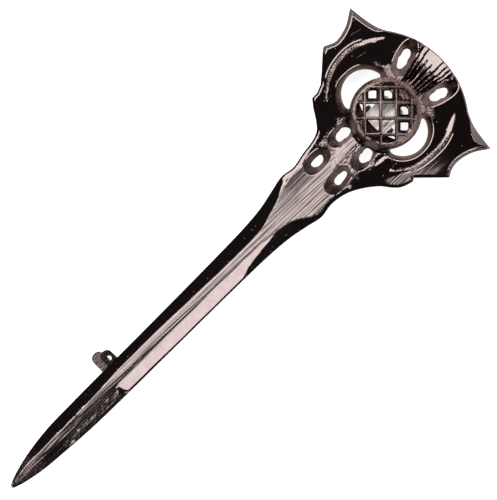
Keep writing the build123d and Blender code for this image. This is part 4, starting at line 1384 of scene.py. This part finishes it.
def lined_steel(name, metal_colour, lines, roughness, grain_depth=0.0):
    """Rolled, pressed or drawn steel, bare or nickel plated.

    The eye sees the lines that rolling, brushing or drawing left along it, which also spread
    its shine unevenly, and dimples where it was pressed. The lines are given by their spacing,
    length, detail and depth, and the roughness by its lowest and highest value.
    """
    material, tree = new_material(name)
    place = add_node(tree, "TexCoord", {}).outputs["Object"]
    spacing, length, detail, depth = lines
    stretched = add_node(
        tree, "Mapping", {"Vector": place, "Scale": (1 / spacing, 1 / length, 1 / spacing)},
    )
    drawn = add_node(
        tree, "TexNoise", {"Vector": stretched.outputs[0], "Scale": 1.0, "Detail": detail},
    ).outputs["Fac"]
    bump = add_node(tree, "Bump", {"Height": drawn, "Distance": depth})
    if grain_depth:
        # Dimples 0.3 mm across
        grain = add_node(tree, "TexVoronoi", {"Vector": place, "Scale": 1 / (0.3 * MM)})
        height = {"Height": grain.outputs["Distance"], "Distance": grain_depth}
        bump = add_node(tree, "Bump", {"Normal": bump.outputs[0], **height})
    low, high = roughness
    dulled = add_node(
        tree, "MapRange",
        {"Value": drawn, "From Min": 0.3, "From Max": 0.7, "To Min": low, "To Max": high},
    )
    shader = add_node(
        tree, "BsdfPrincipled",
        {
            "Base Color": (*metal_colour, 1), "Metallic": 1.0, "Roughness": dulled.outputs[0],
            "Normal": bump.outputs[0],
        },
    )
    add_node(tree, "OutputMaterial", {"Surface": shader.outputs[0]})
    return material


def opal_acrylic(sheet_colour):
    """Sheet of opal acrylic lit from below, which leaves no shadow round the pin."""
    material, tree = new_material("opal acrylic light table")
    shader = add_node(
        tree, "BsdfPrincipled",
        {
            "Base Color": (*sheet_colour, 1), "Roughness": 0.6,
            "Emission Color": (1, 1, 1, 1), "Emission Strength": 0.85,
        },
    )
    add_node(tree, "OutputMaterial", {"Surface": shader.outputs[0]})
    return material


# Stage, in metres and degrees
TABLE_SIZE = 3.0
ROOM_LIGHT = (0.055, 0.042, 0.045, 1)
# Softboxes: name, heading, lean from overhead, distance from the target, place of the target
# along the pin, length, and how many degrees the width spans from there
SOFTBOXES = (
    ("softbox_left", 180, 30, 0.42, 0.025, 0.55, 41),
    ("strip_right", 0, 55, 0.30, 0.050, 0.26, 20),
    ("strip_crest", 90, 38, 0.40, 0.045, 0.22, 26),
)
SENSOR_WIDTH = 36           # in millimetres, as the lens is
VIEW_WIDTH = 0.0821         # what the camera sees across, at the pin's front
CAMERA_PLACE = (-0.00005, 0.00525)
CAMERA_TURN = 44.98


def softbox(radiance, name, heading, lean, distance, target_y, length, spread):
    """An area light of even brightness that faces a target on the pin's axis."""
    data = bpy.data.lights.new(name, "AREA")
    data.shape = "RECTANGLE"
    data.size, data.size_y = length, 2 * distance * math.tan(math.radians(spread / 2))
    data.energy = radiance * math.pi * data.size * data.size_y
    turn, tip = math.radians(heading), math.radians(lean)
    away = Vector((math.cos(turn) * math.sin(tip), math.sin(turn) * math.sin(tip), math.cos(tip)))
    light = bpy.data.objects.new(name, data)
    bpy.context.scene.collection.objects.link(light)
    light.location = Vector((0, target_y, 0)) + distance * away
    light.rotation_euler = (-away).to_track_quat("-Z", "Y").to_euler()


def length_property(name, description, default):
    """A size that the sidebar shows, given in millimetres."""
    return bpy.props.FloatProperty(
        name=name, description=description, default=default * MM, min=0.0, precision=5,
        unit="LENGTH", subtype="DISTANCE",
    )


def colour_property(name, description, hex_code):
    """A colour that the sidebar shows."""
    return bpy.props.FloatVectorProperty(
        name=name, description=description, default=colour(hex_code), min=0.0, max=1.0, size=3,
        subtype="COLOR",
    )


class KILTPIN_casting_settings(bpy.types.PropertyGroup):
    """Relief and plate of the casting"""

    cord_rise: length_property(
        "Cord height", "Height of the cord-like ribs round the head", 0.26,
    )
    flute_depth: length_property("Flute depth", "Depth of the grooves in the crest", 0.75)
    rib_rounding: length_property(
        "Rib rounding", "How far the openwork's ribs fall off to their sides", 0.17,
    )
    engraving: length_property("Engraving", "Depth of the openwork's closed cells", 0.55)
    unevenness: length_property("Unevenness", "Unevenness of the rough, unpolished places", 0.05)
    plate: colour_property("Black nickel", "Colour of the plate on the casting", "#655C5A")


class KILTPIN_findings_settings(bpy.types.PropertyGroup):
    """Metals of the hinge, the needle and the catch"""

    nickel: colour_property("Nickel", "Colour of the plate on the hinge's sheet", "#E2D9D4")
    dulled: colour_property(
        "Dulled nickel", "Colour of the plate on the catch and the rivet", "#5A4E4A",
    )
    steel: colour_property("Steel", "Colour of the needle", "#C4C2BF")


class KILTPIN_stage_settings(bpy.types.PropertyGroup):
    """Light table, lights and camera"""

    sheet: colour_property("Light table", "Colour of the opal sheet", "#A8A8A8")
    radiance: bpy.props.FloatProperty(
        name="Softboxes", description="Brightness of the softboxes", default=6.4, min=0.0,
    )
    camera_height: bpy.props.FloatProperty(
        name="Camera height", description="Height of the camera over the pin's front", default=0.6,
        min=0.1, unit="LENGTH", subtype="DISTANCE",
    )


class KILTPIN_OT_casting(bpy.types.Operator):
    """Build the plated casting: blade, neck and pierced thistle head"""

    bl_idname = "kiltpin.casting"
    bl_label = "Casting"

    def execute(self, context):
        settings = context.scene.kiltpin_casting
        made = build_casting(settings).object("thistle_casting")
        made.data.materials.append(black_nickel_casting(settings.plate))
        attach(made, "base")
        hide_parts("pin_body")
        return {"FINISHED"}


class KILTPIN_OT_findings(bpy.types.Operator):
    """Finish the hinge, the needle and the safety catch on the back"""

    bl_idname = "kiltpin.findings"
    bl_label = "Findings"

    def execute(self, context):
        settings = context.scene.kiltpin_findings
        # The lines are drawn coarser than real ones, which are 0.05 mm apart on the sheet and
        # 0.03 mm on the wire. The housing and the rivet are smooth, the plate is brushed, and the
        # roller's tab is roughened for the thumb.
        apart, length, detail = 0.25 * MM, 5 * MM, 4.0
        smooth_nickel = lined_steel(
            "dulled nickel on pressed steel", settings.dulled, (apart, length, detail, 0.008 * MM),
            (0.128, 0.192), 0.006 * MM,
        )
        brushed_nickel = lined_steel(
            "brushed nickel on rolled steel", settings.nickel, (apart, length, detail, 0.040 * MM),
            (0.24, 0.36), 0.002 * MM,
        )
        rough_nickel = lined_steel(
            "dulled nickel on knurled steel", settings.dulled, (apart, length, detail, 0.012 * MM),
            (0.24, 0.36), 0.035 * MM,
        )
        drawn_wire = lined_steel(
            "polished drawn steel wire", settings.steel, (0.12 * MM, 6 * MM, 3.0, 0.008 * MM),
            (0.16, 0.30),
        )
        finishes = {
            "joint_plate": brushed_nickel, "hinge_rivet": smooth_nickel, "needle": drawn_wire,
            "catch_housing": smooth_nickel, "catch_roller": rough_nickel,
        }
        for name, finish in finishes.items():
            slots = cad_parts[name].data.materials
            slots.clear()
            slots.append(finish)
        return {"FINISHED"}


class KILTPIN_OT_stage(bpy.types.Operator):
    """Set the light table, the lights and the camera"""

    bl_idname = "kiltpin.stage"
    bl_label = "Stage"

    def execute(self, context):
        scene = context.scene
        settings = scene.kiltpin_stage
        mesh = bpy.data.meshes.new("light_table")
        half = TABLE_SIZE / 2
        corners = [(-half, -half, 0), (half, -half, 0), (half, half, 0), (-half, half, 0)]
        mesh.from_pydata(corners, [], [(0, 1, 2, 3)])
        floor = bpy.data.objects.new("light_table", mesh)
        scene.collection.objects.link(floor)
        mesh.materials.append(opal_acrylic(settings.sheet))
        world = bpy.data.worlds.new("studio")
        scene.world = world
        world.use_nodes = True
        world.node_tree.nodes["Background"].inputs["Color"].default_value = ROOM_LIGHT
        for box in SOFTBOXES:
            softbox(settings.radiance, *box)
        camera_data = bpy.data.cameras.new("camera")
        camera = bpy.data.objects.new("camera", camera_data)
        scene.collection.objects.link(camera)
        height = settings.camera_height
        camera_data.lens = SENSOR_WIDTH * height / VIEW_WIDTH
        camera_data.clip_end = 10
        camera.location = (*CAMERA_PLACE, height + FACE_Z * MM)
        camera.rotation_euler = (0, 0, math.radians(CAMERA_TURN))
        scene.camera = camera
        scene.view_settings.view_transform = "Standard"
        return {"FINISHED"}


class KILTPIN_PT_panel(bpy.types.Panel):
    """Kilt pin's builders"""

    bl_idname = "KILTPIN_PT_panel"
    bl_label = "Kilt pin"
    bl_space_type = "VIEW_3D"
    bl_region_type = "UI"
    bl_category = "Kilt pin"

    def draw(self, context):
        for operator, group in zip(OPERATORS, GROUPS):
            box = self.layout.box()
            box.operator(operator.bl_idname)
            settings = getattr(context.scene, group)
            for name in settings.__annotations__:
                box.prop(settings, name)


OPERATORS = (KILTPIN_OT_casting, KILTPIN_OT_findings, KILTPIN_OT_stage)
GROUPS = {
    "kiltpin_casting": KILTPIN_casting_settings,
    "kiltpin_findings": KILTPIN_findings_settings,
    "kiltpin_stage": KILTPIN_stage_settings,
}
CLASSES = (*GROUPS.values(), *OPERATORS, KILTPIN_PT_panel)


def register():
    for item in CLASSES:
        bpy.utils.register_class(item)
    for name, group in GROUPS.items():
        setattr(bpy.types.Scene, name, bpy.props.PointerProperty(type=group))


def unregister():
    for name in GROUPS:
        delattr(bpy.types.Scene, name)
    for item in reversed(CLASSES):
        bpy.utils.unregister_class(item)


def main():
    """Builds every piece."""
    register()
    bpy.ops.kiltpin.casting()
    bpy.ops.kiltpin.findings()
    bpy.ops.kiltpin.stage()


if __name__ == "__main__":
    main()
